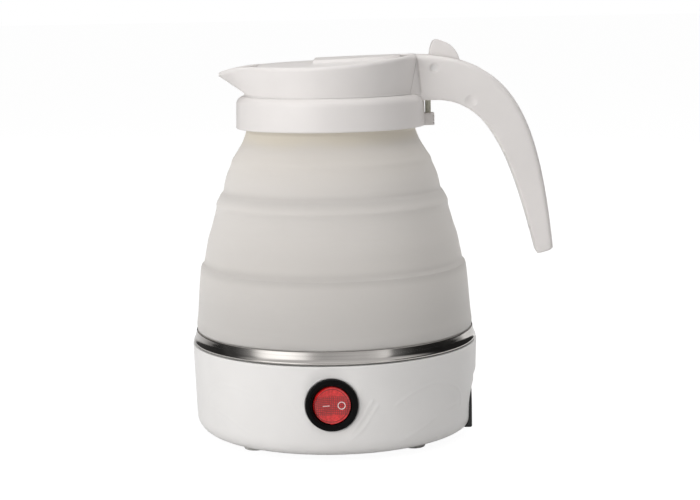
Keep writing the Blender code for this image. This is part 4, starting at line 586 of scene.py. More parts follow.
def base_outline():
    foot = arc((0.0570, WALL_LOW), 0.0075, -90.0, 0.0, 12)[:-1]
    wall = [(mix(BASE_WAIST, BASE_RADIUS, i / WALL_STEPS), mix(WALL_LOW, WALL_HIGH, i / WALL_STEPS))
            for i in range(WALL_STEPS + 1)]
    inside = [(BASE_RADIUS, BASE_TOP, 0.0008), (0.0612, BASE_TOP, 0.0004), (0.0612, 0.0374, 0.0002),
              (0.0629, 0.0349), (0.0620, 0.0097), (0.0577, 0.0048), (0.0535, 0.0048),
              (0.0535, 0.0028), (0.0557, 0.0028), (0.0557, -0.0003, 0.0004)]
    return foot + wall + inside


def mould_wall(shape):
    """Raise the leaf lines on the base's wall, and press the switch's flat into it."""
    co = np.array([v.co for v in shape.verts])
    radius = np.hypot(co[:, 0], co[:, 1])
    degrees = np.degrees(np.arctan2(co[:, 0], -co[:, 1]))
    on_wall = (radius > BASE_WAIST - 0.0004) & (co[:, 2] > RELIEF_LOW) & (co[:, 2] < RELIEF_HIGH)
    lift = relief(degrees, co[:, 2]) * on_wall * smooth((RELIEF_TOP - co[:, 2]) / RELIEF_TOP_FADE)
    for axis in (0, 1):
        co[:, axis] *= 1 + lift / radius
    far = np.hypot(co[:, 0], co[:, 2] - SWITCH_Z)
    near = smooth((FLAT_REACH - far) / FLAT_FADE) * on_wall * (co[:, 1] < FLAT_Y)
    co[:, 1] = co[:, 1] * (1 - near) + FLAT_Y * near
    for vert, place in zip(shape.verts, co):
        vert.co = place


def inlet_outline(grow=0.0):
    side, low, high, r = INLET_HALF + grow, 0.0017 - grow, 0.0235 + grow, 0.0125 + grow
    outline = [(-side, low), (side, low)]
    for middle, start in ((side - r, 0.0), (r - side, 90.0)):
        outline += arc((middle, high - r), r, start, start + 90.0, 14)
    return outline


def base_shell():
    shape = turned(soften(base_outline()), 720)
    mould_wall(shape)
    base = obj("base_shell", shape, mats["base"])
    holes = []
    for radius, back in ((SWITCH_RIM_RADIUS, SWITCH_SEAT), (SWITCH_HOLE_RADIUS, 0.05)):
        hole = turned([(0.0, back), (radius, back), (radius, CUT_END), (0.0, CUT_END)], 96)
        holes.append(lay(hole, "X", SWITCH_PLACE))
    opening = prism(inlet_outline(0.0003), INLET_FACE - 0.0043, 0.08, "x")
    facet = prism([(0.0632, -0.004), (0.0632, 0.0250), (0.0694, 0.0312), (0.0694, -0.004)],
                  -INLET_HALF, INLET_HALF, "y")
    room = prism(rounded(-0.0176, 0.0176, 0.0051, 0.0208, 0.0025), 0.0437, CUT_END, "x")
    cut(base, *holes, facet, opening, room)
    dress(base, "base", ["base_housing"], 24.0)


def cover_screw(index, degrees, place):
    profile = soften([(0.0, 0.0009), (0.0029, 0.0009, 0.0005), (0.0029, 0.0025, 0.0002),
                      (0.0014, 0.0025), (0.0014, 0.0131), (0.0, 0.0145)], 3)
    piece = obj(f"cover_screw_head_{int(degrees)}", turned(profile, 32, place), mats["zinc"])
    for turn in (0.0, 90.0):
        slot = prism(rounded(-0.0017, 0.0017, -0.0003, 0.0003, 0.0002, 2), -0.001, 0.0017, "z")
        cut(piece, lay(slot, "Z", (*place, 0.0), turn + degrees))
    dress(piece, "base", [f"cover_screw_{index}"])


def foot_pad(index, place):
    profile = soften([(0.0, FEET_LEVEL), (0.0052, FEET_LEVEL, 0.0010), (0.0050, 0.0002, 0.0003),
                      (0.0, 0.0002)], 4)
    piece = obj(f"foot_pad_{index}", turned(profile, 48, place), mats["rubber"])
    dress(piece, "base", [f"rubber_foot_{index}"])


def base_bottom():
    outline = [(0.0, 0.0), (0.0340, 0.0, 0.0003), (0.0345, 0.0005, 0.0003), (0.0554, 0.0005, 0.0004),
               (0.0554, 0.0025, 0.0003), (0.0, 0.0025)]
    cover = obj("bottom_cover", turned(soften(outline, 3), 160), mats["white"])
    holes = []
    for index, degrees in enumerate((60.0, 180.0, 300.0), 1):
        place = on_circle(SCREW_CIRCLE, degrees)
        holes.append(turned([(0.0, -0.004), (0.0032, -0.004), (0.0032, 0.0028), (0.0, 0.0028)], 32, place))
        cover_screw(index, degrees, place)
    cut(cover, *holes)
    dress(cover, "base", ["base_bottom_cover"])
    for index, degrees in enumerate((45.0, 135.0, 225.0, 315.0), 1):
        foot_pad(index, on_circle(FOOT_CIRCLE, degrees))


# Vessel


def vessel():
    band = curve_through([(0.0651, 0.0414), (0.06436, 0.0430), (0.06402, 0.0444), (0.0637, 0.0460)], 5)
    outline = [(0.0, 0.0341), (0.0558, 0.0341, 0.002), (0.0588, 0.0371, 0.002), (0.0588, 0.0409, 0.0005),
               (0.0650, 0.0409, 0.0002)]
    outline += band
    outline += [(0.0636, 0.0462, 0.0002), (0.0629, 0.0462, 0.0002), (0.0638, 0.0421, 0.0004),
                (0.0578, 0.0419, 0.0006), (0.0578, 0.0375, 0.002), (0.0554, 0.0351, 0.002),
                (0.0, 0.0351)]
    piece = obj("steel_pan", turned(soften(outline), 256), mats["steel"])
    dress(piece, "base", ["steel_vessel"], 40.0)
    ring = [(0.0612, 0.0404, 0.0001), (0.0647, 0.0404, 0.0002), (0.0647, 0.0408, 0.0002),
            (0.0612, 0.0408, 0.0001)]
    piece = obj("seal_ring", turned(soften(ring, 3), 192), mats["seal"])
    dress(piece, "base", ["vessel_seal"])
    clamp = [(0.0586, 0.0422, 0.0003), (0.0607, 0.0422, 0.0004), (0.0607, 0.0447, 0.0003),
             (0.0598, 0.0447, 0.0003), (0.0598, 0.0431, 0.0004), (0.0586, 0.0431, 0.0003)]
    piece = obj("clamp_ring", turned(soften(clamp, 3), 192), mats["steel"])
    dress(piece, "base", ["silicone_clamp_ring"], 40.0)


# Collar


SHOULDER_CENTRE, SHOULDER_ROUND, SHOULDER_END = (0.0389, 0.1488), 0.0038, 85.0
SHOULDER_FOOT = (0.04285, 0.1440)
# How far the collar's shoulder stands off its round; the head's seat stands off by SEAM, so the two overlap
SWELL, SEAM = 0.00005, 0.00002
LUG_TOP, RIB_LOW, RIB_HIGH, RIB_HALF, RIB_DEPTH = 0.1435, 0.1392, 0.1424, 0.00022, 0.0466


def collar():
    outline = [(COLLAR_BORE, COLLAR_BOTTOM, 0.0004), (COLLAR_RADIUS, COLLAR_BOTTOM, 0.0006), SHOULDER_FOOT]
    outline += arc(SHOULDER_CENTRE, SHOULDER_ROUND + SWELL, 0.0, SHOULDER_END, 14)
    piece = obj("collar", turned(soften(outline, 8), 256), mats["head"])
    lug = obj("lug", prism(rounded(0.0411, 0.0472, -0.0040, 0.0040, 0.0008, 4), COLLAR_BOTTOM, LUG_TOP, "z"))
    bevel(lug, 0.0004, 2)
    fuse(piece, lug)
    room = turned([(0.0, 0.137), (RIB_DEPTH, 0.137), (RIB_DEPTH, 0.145), (0.0, 0.145)], 96)
    grooves = []
    for i in range(3):
        level = mix(RIB_LOW, RIB_HIGH, i / 2)
        outline = rounded(0.0450, 0.0480, level - RIB_HALF, level + RIB_HALF, 0.0001, 2)
        grooves.append(cut(obj("groove", prism(outline, -0.0050, 0.0050, "y")), room.copy()))
    room.free()
    combine(piece, "DIFFERENCE", *grooves)
    dress(piece, "head", ["collar_ring"], 30.0)
    pin = soften([(0.0, 0.1400), (0.0013, 0.1400, 0.0003), (0.0013, 0.1504, 0.0003),
                  (0.0, 0.1504)], 3)
    piece = obj("lug_pin", turned(pin, 48, (TIE_PIN_X, 0.0)), mats["pin"])
    dress(piece, "head", ["collar_tie_pin"])


# Head and handle


def rim_height(x):
    if x < RIM_TIP_START:
        share = (RIM_TIP_START - x) / (RIM_TIP_START + BEAK_REACH)
        return RIM_LEVEL - RIM_TIP_DROP * min(share, 1.0) ** 2
    share = max(x - RIM_RISE_START, 0.0) / (HEAD_FOOT_RADIUS - RIM_RISE_START)
    return RIM_LEVEL + RIM_RISE * min(share, 1.0) ** 1.6


def rim_radius(a):
    from_beak = abs((a % math.tau) - math.pi)
    spread = math.acos(HEAD_RIM_RADIUS / BEAK_REACH) + BEAK_NOSE
    return HEAD_RIM_RADIUS / math.cos(max(spread - math.hypot(from_beak, BEAK_NOSE), 0.0))


COVE_ROUND = 0.0014
COVE_CENTRE = (HEAD_FOOT_RADIUS + COVE_ROUND, 0.15378)
RIM_FILLET = (0.0013, 0.0020)


def head_ring(a):
    rim = rim_radius(a)
    top = rim_height(rim * math.cos(a))
    seat = arc(SHOULDER_CENTRE, SHOULDER_ROUND + SEAM, SHOULDER_END, 72.0, 3)
    cove = arc(COVE_CENTRE, COVE_ROUND, 258.0, 184.0, 8)
    turn = [math.radians(15.0 * i) for i in range(7)]
    fillet = [(rim - RIM_FILLET[0] * (1.0 - math.cos(t)), top - RIM_FILLET[1] * (1.0 - math.sin(t)))
              for t in turn]
    outline = [(SKIRT_RADIUS, SKIRT_BOTTOM, 0.0003), (SKIRT_RADIUS, seat[0][1]), *seat, *cove, *fillet,
               (rim - HEAD_WALL, top, 0.0008), (HEAD_FOOT_RADIUS - HEAD_WALL, 0.1557, 0.0015),
               (0.0348, HEAD_FOOT, 0.0008), (0.0348, SKIRT_BOTTOM, 0.0003)]
    return [(r * math.cos(a), r * math.sin(a), z) for r, z in soften(outline, 5)]


def cubic(points, t):
    s = 1.0 - t
    w = (s ** 3, 3 * s * s * t, 3 * s * t * t, t ** 3)
    return Vector([sum(k * p[axis] for k, p in zip(w, points)) for axis in (0, 1)])


def edge_curve(start, end, shares):
    """The four points of a cubic: its ends, and between them two at shares of the way across and up."""
    between = [(mix(start[0], end[0], a), mix(start[1], end[1], b)) for a, b in shares]
    return [start, *between, end]


OUTER = edge_curve((HANDLE_ROOT, HANDLE_CREST), (HANDLE_REACH, HANDLE_TIP), ((0.685, 0.008), (0.892, 0.266)))
INNER = edge_curve((GRIP_ROOT, GRIP_TOP), (GRIP_REACH, GRIP_TIP), ((0.565, -0.024), (0.780, 0.408)))
HANDLE_STEPS = 72
# The hollow along the handle's finger side: its share of the handle, its wall, its depth and its cover's gap
CHANNEL_START, CHANNEL_END, CHANNEL_STEPS, CHANNEL_WALL = 0.34, 0.94, 48, 0.0024
COVER_DEPTH, COVER_GAP = 0.0020, 0.0003
GUSSET_REACH, GUSSET_LENGTH, GUSSET_FOOT, GUSSET_SINK = 0.0062, 0.0022, 0.1500, 0.0003
GUSSET_WALL = 0.0024
SLOT_FLOOR, CUT_TOP = 0.1616, 0.19
EYE_BALL = ball_radius(EYE_RADIUS, EYE_DEPTH)
EYE_MIDDLE = HANDLE_HALF - EYE_DEPTH + EYE_BALL


def handle_edges(share):
    paired = share - 0.45 * share * (1.0 - share)
    return cubic(OUTER, share), cubic(INNER, paired), mix(HANDLE_HALF, TIP_HALF, share ** 2)


def handle_ring(outer, inner, half, shrink=0.0):
    along = (outer - inner).normalized()
    length = (outer - inner).length
    low, high, side = shrink, length - shrink, half - shrink
    ring = soften([(low, -side, 0.0012), (low, side, 0.0012), (high, side, 0.0030), (high, -side, 0.0030)], 6)
    return [(inner.x + along.x * d, s, inner.y + along.y * d) for d, s in ring]


def handle_arm():
    root = (Vector((HANDLE_ROOT, HANDLE_CREST)), Vector((HANDLE_ROOT, GRIP_TOP)))
    rings = [handle_ring(*root, HANDLE_HALF)]
    rings += [handle_ring(*handle_edges(i / HANDLE_STEPS)) for i in range(1, HANDLE_STEPS + 1)]
    outer, inner, half = handle_edges(1.0)
    onward = (outer - handle_edges(0.99)[0]).normalized()
    for i in range(1, 6):
        a = math.radians(18.0 * i)
        move = onward * TIP_ROUND * math.sin(a)
        rings.append(handle_ring(outer + move, inner + move, half, TIP_ROUND * (1.0 - math.cos(a))))
    return skin(rings)


def channel_ring(share, low, high, gap):
    """A ring across the hollow, low to high off the finger side; high below 0 is off the outer side."""
    outer, inner, half = handle_edges(share)
    along = (outer - inner).normalized()
    far = high if high > 0.0 else (outer - inner).length + high
    side = half - CHANNEL_WALL - gap
    corners = ((low, side), (far, side), (far, -side), (low, -side))
    return [(inner.x + along.x * d, s, inner.y + along.y * d) for d, s in corners]


def channel(trim, low, high, gap):
    start, end, steps = CHANNEL_START + trim, CHANNEL_END - trim, CHANNEL_STEPS
    return skin([channel_ring(mix(start, end, i / steps), low, high, gap) for i in range(steps + 1)])


def gusset(side):
    """The rib between the head's wall and one flank of the handle."""
    flank = HANDLE_HALF - GUSSET_SINK
    wide = flank + GUSSET_REACH
    wall_x = math.sqrt(HEAD_FOOT_RADIUS ** 2 - wide ** 2) - GUSSET_SINK
    apex_x = math.sqrt(HEAD_RIM_RADIUS ** 2 - flank ** 2)
    top = HANDLE_TOP - 0.0022
    corners = [(wall_x, side * wide, GUSSET_FOOT),
               (HEAD_FOOT_RADIUS + GUSSET_LENGTH, side * flank, GUSSET_FOOT),
               (wall_x, side * (flank - GUSSET_WALL), GUSSET_FOOT), (apex_x, side * flank, top),
               (apex_x - 0.0012, side * (flank - GUSSET_WALL), top)]
    shape = bmesh.new()
    made = [shape.verts.new(c) for c in corners]
    bmesh.ops.convex_hull(shape, input=made)
    return shape


def ball(centre, radius):
    shape = bmesh.new()
    bmesh.ops.create_uvsphere(shape, u_segments=48, v_segments=32, radius=radius)
    bmesh.ops.translate(shape, vec=centre, verts=shape.verts)
    return shape


def lid_room():
    """What the lid's arm and lever need: a slot, and a round pocket about the hinge."""
    slot = prism([(LID_BACK, SLOT_FLOOR), (HINGE_X, SLOT_FLOOR), (HINGE_X, CUT_TOP), (LID_BACK, CUT_TOP)],
                 -SLOT_HALF, SLOT_HALF, "y")
    left = math.degrees(math.acos((POCKET_LEFT - HINGE_X) / POCKET_RADIUS))
    outline = arc((HINGE_X, HINGE_Z), POCKET_RADIUS, -left, 60.0, 40)
    outline += [(outline[-1][0], CUT_TOP), (POCKET_LEFT, CUT_TOP)]
    return slot, prism(outline, -SLOT_HALF, SLOT_HALF, "y")


def flank_marks(side):
    """The eye round the hinge pin, the dimple, and the crease of the rib, on one flank of the handle."""
    eye = ball((HINGE_X, side * EYE_MIDDLE, HINGE_Z), EYE_BALL)
    radius = ball_radius(DIMPLE_RADIUS, DIMPLE_DEPTH)
    flank = mix(HANDLE_HALF, TIP_HALF, 0.25 ** 2)
    dimple = ball((0.0636, side * (flank - DIMPLE_DEPTH + radius), 0.1488), radius)
    crease = [(0.0391, 0.1684), (0.0396, 0.1684), (0.0413, 0.1530), (0.0408, 0.1530)]
    return eye, dimple, prism(crease, side * (HANDLE_HALF - 0.0003), side * 0.0110, "y")


def head():
    rings = [head_ring(math.tau * i / 360) for i in range(360)]
    piece = obj("head_and_handle", skin(rings, closed=True), mats["head"])
    arm = obj("arm", handle_arm())
    shoulder = arc(SHOULDER_CENTRE, SHOULDER_ROUND + SEAM, 0.0, SHOULDER_END, 14)
    below = COLLAR_BOTTOM - 0.001
    around = [(0.0, below), (COLLAR_RADIUS + SEAM, below), (SHOULDER_FOOT[0] + SEAM, SHOULDER_FOOT[1]),
              *shoulder, (0.0, shoulder[-1][1])]
    ribs = [obj("rib", gusset(side)) for side in (-1, 1)]
    for part in (arm, *ribs):
        cut(part, turned(around, 256))
    fuse(piece, arm, *ribs)
    bore = prism(circle((HINGE_X, HINGE_Z), PIN_RADIUS), -0.014, 0.014, "y")
    cut(piece, *lid_room(), channel(0.0, -0.004, -0.0030, 0.0), bore)
    for side in (-1, 1):
        cut(piece, *flank_marks(side))
    dress(piece, "head", ["spout_head"], 30.0)


def grip_cover():
    trim = 2 * COVER_GAP / (HANDLE_REACH - HANDLE_ROOT + HANDLE_TOP - HANDLE_TIP)
    strip = obj("grip_cover", channel(trim, 0.0, COVER_DEPTH, COVER_GAP), mats["white"])
    bevel(strip, 0.0003, 2)
    dress(strip, "head", ["handle_inner_cover"])


def hinge_pin():
    """The lid's pin, whose dished ends carry on the eyes in the handle's flanks."""
    dish = []
    for i in range(6):
        r = PIN_RADIUS * i / 5
        dish.append((r, EYE_MIDDLE - math.sqrt(EYE_BALL ** 2 - r ** 2)))
    shape = lay(turned([(r, -end) for r, end in dish] + dish[::-1], 48), "X", (HINGE_X, 0.0, HINGE_Z))
    dress(obj("hinge_pin", shape, mats["white"]), "head", ["lid_hinge_pin"])


# Lid


# The lever's outer side, as (distance from the hinge, degrees round it)
LEVER_CURVE = [(0.0050, 118.0), (0.0085, 101.5), (0.0110, 94.5), (0.0121, 90.0), (0.01257, 84.0),
               (0.0125, 77.0), (0.0124, 65.0), (0.0124, 57.0), (0.0124, 47.0), (0.0122, 33.0), (0.0120, 20.0),
               (0.0119, 10.0)]
# The panel's rounded front, the depth it is set into the lid, and the share of its sides that stays level
PANEL_ROUND, PANEL_SINK, PANEL_LEVEL = 0.0008, 0.0002, 0.94


def lid_level(x):
    share = min(max((x - LID_FRONT) / (LID_BACK - LID_FRONT), 0.0), 1.0)
    nose = min(max((x - LID_FRONT) / LID_NOSE, 0.0), 1.0)
    crown = RIM_LEVEL + mix(LID_CROWN_FRONT, LID_CROWN_BACK, math.sqrt(share))
    return mix(rim_height(x) - LID_SINK, crown, math.sqrt(nose * (2.0 - nose)))


def lid_side(x, inset=0.0):
    """Half the lid's width: a round plate whose pouring end is a flatter curve."""
    front = max(x - LID_FRONT - inset, 0.0) / LID_NOSE_CURVE
    return math.sqrt(min((LID_RADIUS - inset) ** 2 - x ** 2, front))


def lid_face(x, share):
    """Height of the crowned lid at a share of the way from its middle to its side."""
    return mix(lid_level(x), rim_height(x) - LID_SINK, share * share)


def lid_ring(x, inset, bottom, lower, edge):
    side = lid_side(x, inset)
    top = lid_face(x, 1.0) - lower
    outline = [(side, bottom, 0.0002), (side, top, edge), (side * 0.97, lid_face(x, 0.97) - lower)]
    ring = soften(outline, 5)
    inward = (0.97, *(k / 10 for k in range(9, 0, -1)))
    half = ring[:-1] + [(side * share, lid_face(x, share) - lower) for share in inward]
    full = half + [(0.0, lid_level(x) - lower)] + [(-across, level) for across, level in reversed(half)]
    return [(x, across, level) for across, level in full]


def lid_panel():
    """The raised panel behind the lid's pouring end, with a rounded front and rounded sides."""
    rings = []
    turn = [math.radians(15 * i) for i in range(7)]
    places = [(PANEL_FRONT + PANEL_ROUND * (1.0 - math.cos(t)), math.sin(t)) for t in turn]
    places += [(mix(places[-1][0], LID_BACK - 0.0004, i / 40), 1.0) for i in range(1, 41)]
    for x, grown in places:
        side = math.sqrt(LID_RADIUS ** 2 - x ** 2) * PANEL_SHARE
        shares = [-1.0 + 2.0 * k / 24 for k in range(25)]
        top = []
        for share in shares:
            round_off = math.sqrt(max(1.0 - max((abs(share) - PANEL_LEVEL) / 0.06, 0.0) ** 2, 0.0))
            rise = (PANEL_RISE + PANEL_SINK) * grown * round_off
            top.append((x, side * share, lid_face(x, share * PANEL_SHARE) - PANEL_SINK + rise))
        under = [(x, side * share, lid_face(x, share * PANEL_SHARE) - 0.0012) for share in reversed(shares)]
        rings.append(top + under)
    return skin(rings)


def lid_plate(inset, bottom, lower, edge, steps):
    places = [mix(LID_FRONT + inset + 0.00005, LID_BACK - inset, 0.5 - 0.5 * math.cos(math.pi * i / steps))
              for i in range(steps + 1)]
    return skin([lid_ring(x, inset, bottom, lower, edge) for x in places])


def lid():
    piece = obj("pouring_lid", lid_plate(0.0, LID_BOTTOM, 0.0, 0.0009, 96), mats["head"])
    cut(piece, lid_plate(0.0020, LID_BOTTOM - 0.004, 0.0020, 0.0004, 64))
    pin = (HINGE_X, HINGE_Z)
    start = LID_BACK - 0.0020
    arm_top = lid_level(LID_BACK) + PANEL_RISE - 0.0001
    outline = [(start, LID_BOTTOM), (start, arm_top), (HEAD_FOOT_RADIUS, arm_top)]
    outline += curve_through([arc(pin, radius, turn, turn, 1)[0] for radius, turn in LEVER_CURVE], 6)
    outline += arc(pin, 0.0050, 0.0, -160.0, 24)
    outline.append((POCKET_LEFT, LID_BOTTOM))
    lever = obj("lever", prism(outline, -ARM_HALF, ARM_HALF, "y"))
    bevel(lever, 0.0016, 5, 50.0)
    fuse(piece, lid_panel(), lever)
    cut(piece, prism(circle(pin, 0.0018, 32), -0.007, 0.007, "y"))
    dress(piece, "lid", ["lid"], 30.0)


# Switch


def switch():
    outline = [(0.0, 0.0450), (0.0099, 0.0450, 0.0005), (0.0099, 0.0637), (0.0114, 0.0637, 0.0002),
               (0.0114, 0.0659, 0.0014), (0.0094, 0.0659, 0.0007), (0.0091, 0.0654, 0.0002),
               (0.0085, 0.0654, 0.0002), (0.0085, 0.0585), (0.0, 0.0585)]
    shape = lay(turned(soften(outline, 6), 128), "X", SWITCH_PLACE)
    piece = obj("switch_bezel", shape, mats["gloss_black"])
    pivot = circle((0.0, -SWITCH_SEAT), 0.0013, 16)
    cut(piece, prism(pivot, SWITCH_Z - 0.0094, SWITCH_Z + 0.0094, "z"))
    dress(piece, "base", ["switch_housing"], 40.0)
    rocker()


ROCKER_RADIUS, ROCKER_BACK, ROCKER_FRONT, ROCKER_CUT = 0.0082, -0.0028, 0.0030, 0.0084
MARK_DEPTH = 0.00004


def rocker():
    profile = [(0.0, SWITCH_SEAT + ROCKER_BACK)]
    for i in range(17):
        offset = mix(ROCKER_BACK, ROCKER_FRONT, i / 16)
        profile.append((math.sqrt(ROCKER_RADIUS ** 2 - offset ** 2), SWITCH_SEAT + offset))
    profile.append((0.0, SWITCH_SEAT + ROCKER_FRONT))
    piece = obj("rocker_lens", lay(turned(profile, 128), "X", SWITCH_PLACE), mats["red"])
    valley = ROCKER_RADIUS * math.tan(TILT)
    low = -SWITCH_SEAT - ROCKER_FRONT + valley
    side, front = low - 1.024 * valley, low - valley - 0.004
    outline = soften([(0.0, low, 0.0010), (ROCKER_CUT, side), (ROCKER_CUT, front), (-ROCKER_CUT, front),
                      (-ROCKER_CUT, side)], 6)
    cut(piece, prism(outline, SWITCH_Z - 0.012, SWITCH_Z + 0.012, "z"))
    bevel(piece, 0.0003, 3, 40.0)
    pivot = circle((0.0, -SWITCH_SEAT), 0.0010, 16)
    fuse(piece, prism(pivot, SWITCH_Z - 0.0091, SWITCH_Z + 0.0091, "z"))
    about = (Matrix.Translation((0.0, -SWITCH_SEAT, 0.0)) @ Matrix.Rotation(TILT, 4, "Z")
             @ Matrix.Translation((0.0, SWITCH_SEAT, 0.0)))
    outline = rounded(-0.00150, 0.00150, -0.00013, 0.00013, 0.0001, 3)
    dash = obj("rocker_mark_on", prism(outline, -MARK_DEPTH, MARK_DEPTH, "y"), mats["mark"])
    shape = turned(rounded(0.00138, 0.00168, -MARK_DEPTH, MARK_DEPTH, 0.00002, 2), 48)
    zero = obj("rocker_mark_off", lay(shape, "X", (0.0, 0.0, 0.0)), mats["mark"])
    for mark, across, turn in ((dash, -0.0027, TILT), (zero, 0.0039, -TILT)):
        face = low - abs(across) * math.tan(TILT) - MARK_DEPTH
        move = Matrix.Translation((across, face, SWITCH_Z)) @ Matrix.Rotation(turn, 4, "Z")
        mark.data.transform(about @ move)
        dress(mark, "rocker")
    piece.data.transform(about)
    dress(piece, "rocker", ["switch_rocker"], 40.0)


# Inlet


INLET_PINS, INLET_EARS = (-0.009, 0.0, 0.009), (-0.0243, 0.0243)


def inlet():
    piece = obj("inlet_shroud", prism(inlet_outline(), INLET_FACE - 0.0040, INLET_FACE, "x"), mats["black"])
    bevel(piece, 0.0008, 3)
    body = prism(rounded(-0.0173, 0.0173, 0.0054, 0.0205, 0.0022),
                 INLET_FACE - 0.0185, INLET_FACE - 0.0020, "x")
    ears = prism(rounded(-0.0266, 0.0266, INLET_CENTRE - 0.0036, INLET_CENTRE + 0.0036, 0.0022),
                 INLET_FACE - 0.0103, INLET_FACE - 0.0078, "x")
    fuse(piece, body, ears)
    mouth = prism(rounded(-0.0140, 0.0140, INLET_CENTRE - 0.0058, INLET_CENTRE + 0.0058, 0.0022, 8),
                  INLET_FACE - 0.0148, INLET_FACE + 0.004, "x")
    holes = [prism(circle((place, INLET_CENTRE), 0.0020, 24), 0.040, 0.049, "x") for place in INLET_PINS]
    holes += [prism(circle((place, INLET_CENTRE), 0.0014, 24), 0.050, 0.056, "x") for place in INLET_EARS]
    cut(piece, mouth, *holes)
    dress(piece, "base", ["inlet_housing"], 30.0)
    profile = soften([(0.0, 0.0372), (0.0017, 0.0372, 0.0003), (0.0017, 0.0567, 0.0012),
                      (0.0, 0.0567)], 4)
    for index, place in enumerate(INLET_PINS, 1):
        shape = lay(turned(profile, 24), "Y", (0.0, place, INLET_CENTRE))
        piece = obj(f"contact_pin_{index}", shape, mats["brass"])
        dress(piece, "base", [f"inlet_pin_{index}"])


# CAD pieces that keep their shape, out of sight inside the base

KEPT = {
    "aluminium": ["heat_spreader", "thermal_fuse"],
    "zinc": ["heating_element", "inlet_screw_1", "inlet_screw_2"],
    "phenolic": ["thermostat"],
    "brass": ["thermostat_terminal_1", "thermostat_terminal_2", "switch_terminal_1", "switch_terminal_2",
              "switch_terminal_3"],
    "blue": ["wire_neutral", "wire_switched"],
    "brown": ["wire_live", "wire_thermostat", "wire_fuse"],
    "green": ["wire_earth"],
}


def dress_kept():
    for finish, names in KEPT.items():
        for name in names:
            node = frame["nodes"][name]
            node.data.materials.clear()
            node.data.materials.append(mats[finish])
            for face in node.data.polygons:
                face.material_index = 0


# Stage

# What only glossy rays see: brightness by degrees round the object from the camera's side, and a lighter cap
# above CAP_START. The stops began as brightness readings along the photograph's steel band, rounded, and were
# then changed against renders of the band
MIRROR = [(-180, 0.041), (-154, 0.041), (-128, 0.025), (-112, 0.017), (-104, 0.017), (-97, 0.033),
          (-90, 0.029), (-83, 0.050), (-77, 0.099), (-71, 0.165), (-65.5, 0.463), (-60, 0.769),
          (-54, 0.926), (-42, 1.000), (-33, 0.934), (-28.5, 0.826), (-24, 0.702), (-19, 0.471),
          (-15, 0.339), (-8, 0.281), (5, 0.306), (20, 0.347), (25, 0.339), (35, 0.413),
          (41, 0.521), (45, 0.496), (49.5, 0.124), (60, 0.045), (70, 0.015), (90, 0.008),
          (118, 0.010), (180, 0.025)]
CAP_START, CAP_SLOPE, CAP = 0.42, 8.0, 0.38
MIRROR_STRENGTH, AMBIENT_STRENGTH = 1.755, 0.305


def world():
    made = bpy.data.worlds.new("studio")
    bpy.context.scene.world = made
    made.use_nodes = True
    made.node_tree.nodes.clear()
    nodes = Nodes(made.node_tree)
    calc = nodes.math

    def background(colour, strength):
        return nodes.add("Background", Color=colour, Strength=strength).outputs["Background"]

    coords = nodes.add("TexCoord").outputs["Generated"]
    split = nodes.add("SeparateXYZ", Vector=coords)
    x, y, z = (split.outputs[k] for k in "XYZ")
    azimuth = calc("ARCTAN2", x, calc("MULTIPLY", y, -1.0))
    around = calc("ADD", calc("DIVIDE", azimuth, math.tau), 0.5)
    ring = nodes.ramp(around, [(0.5 + degrees / 360.0, level) for degrees, level in MIRROR], "LINEAR")
    rise = calc("MULTIPLY", calc("SUBTRACT", z, CAP_START), CAP_SLOPE)
    share = calc("MINIMUM", calc("MAXIMUM", rise, 0.0), 1.0)
    mirror = nodes.add("Mix", Factor=share, A=ring, B=CAP).outputs["Result"]
    path = nodes.add("LightPath").outputs
    ambient = background((1.0, 0.995, 0.99, 1.0), AMBIENT_STRENGTH)
    glossy = background(mirror, MIRROR_STRENGTH)
    lit = nodes.join("MixShader", path["Is Glossy Ray"], ambient, glossy)
    direct = calc("MAXIMUM", path["Is Camera Ray"], path["Is Transmission Ray"])
    white = background((1.0, 1.0, 1.0, 1.0), 1.0)
    nodes.add("OutputWorld", Surface=nodes.join("MixShader", direct, lit, white))


def lamp(name, place, target, size, power):
    data = bpy.data.lights.new(name, "AREA")
    data.shape = "RECTANGLE"
    data.size, data.size_y = size
    data.energy = power
    made = linked(name, data)
    made.location = place
    made.rotation_euler = (Vector(target) - Vector(place)).to_track_quat("-Z", "Y").to_euler()
    made.visible_glossy = False


# The floor's shade for light that bounces off it, and for the camera, which also sees it glow
FLOOR_SHADE, FLOOR_SEEN, FLOOR_GLOW = 0.74, 0.12, 0.95


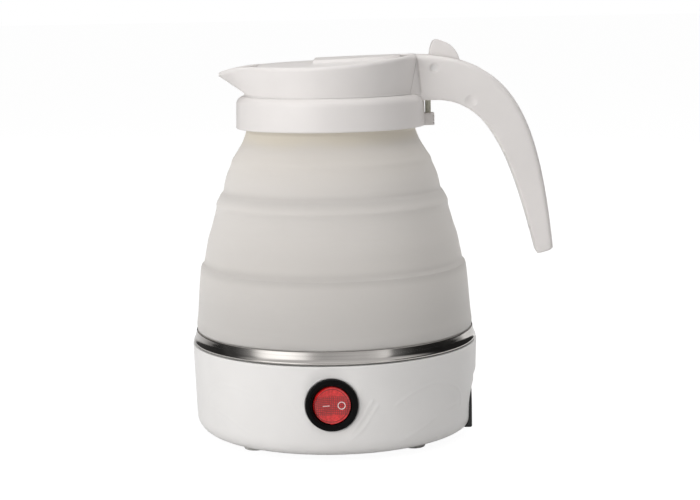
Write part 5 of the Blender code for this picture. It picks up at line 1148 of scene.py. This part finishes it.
def floor():
    data = bpy.data.meshes.new("floor")
    data.from_pydata([(-30, -30, 0), (30, -30, 0), (30, 30, 0), (-30, 30, 0)], [], [(0, 1, 2, 3)])
    plane = linked("floor", data)
    plane.location.z = FEET_LEVEL
    made = bpy.data.materials.new("pale_floor")
    made.use_nodes = True
    made.node_tree.nodes.clear()
    nodes = Nodes(made.node_tree)
    plain, faint = (nodes.add("BsdfDiffuse", Color=(level, level, level, 1.0)).outputs["BSDF"]
                    for level in (FLOOR_SHADE, FLOOR_SEEN))
    glow = nodes.add("Emission", Color=(1.0, 1.0, 1.0, 1.0), Strength=FLOOR_GLOW)
    seen = nodes.join("AddShader", faint, glow.outputs["Emission"])
    from_camera = nodes.add("LightPath").outputs["Is Camera Ray"]
    nodes.add("OutputMaterial", Surface=nodes.join("MixShader", from_camera, plain, seen))
    data.materials.append(made)


def camera():
    data = bpy.data.cameras.new("camera")
    data.sensor_width = SENSOR_WIDTH
    data.sensor_fit = "HORIZONTAL"
    data.lens = FOCAL_PIXELS * SENSOR_WIDTH / IMAGE_WIDTH
    data.clip_start = 0.01
    made = linked("camera", data)
    made.matrix_world = (Matrix.Rotation(CAMERA_ORBIT, 4, "Z") @ Matrix.Translation(CAMERA_PLACE)
                         @ Matrix.Rotation(math.pi / 2 - CAMERA_DOWN, 4, "X")
                         @ Matrix.Rotation(CAMERA_ROLL, 4, "Z"))
    bpy.context.scene.camera = made


def stage():
    scene = bpy.context.scene
    scene.view_settings.view_transform = "Standard"
    camera()
    world()
    floor()
    lamp("key", (-0.92, -1.02, 0.40), (0.0, 0.0, 0.09), (0.9, 1.1), 11.3)
    lamp("side", (-1.25, -0.58, 0.40), (0.0, 0.0, 0.09), (0.9, 1.1), 1.85)
    lamp("top", (0.1, -0.1, 1.5), (0.0, 0.0, 0.1), (1.2, 1.2), 11.0)
    lamp("back_fill", (0.7, 1.2, 0.6), (0.0, 0.0, 0.1), (1.0, 1.0), 10.0)


silicone_wall()
base_shell()
base_bottom()
vessel()
collar()
head()
grip_cover()
hinge_pin()
lid()
switch()
inlet()
dress_kept()
stage()
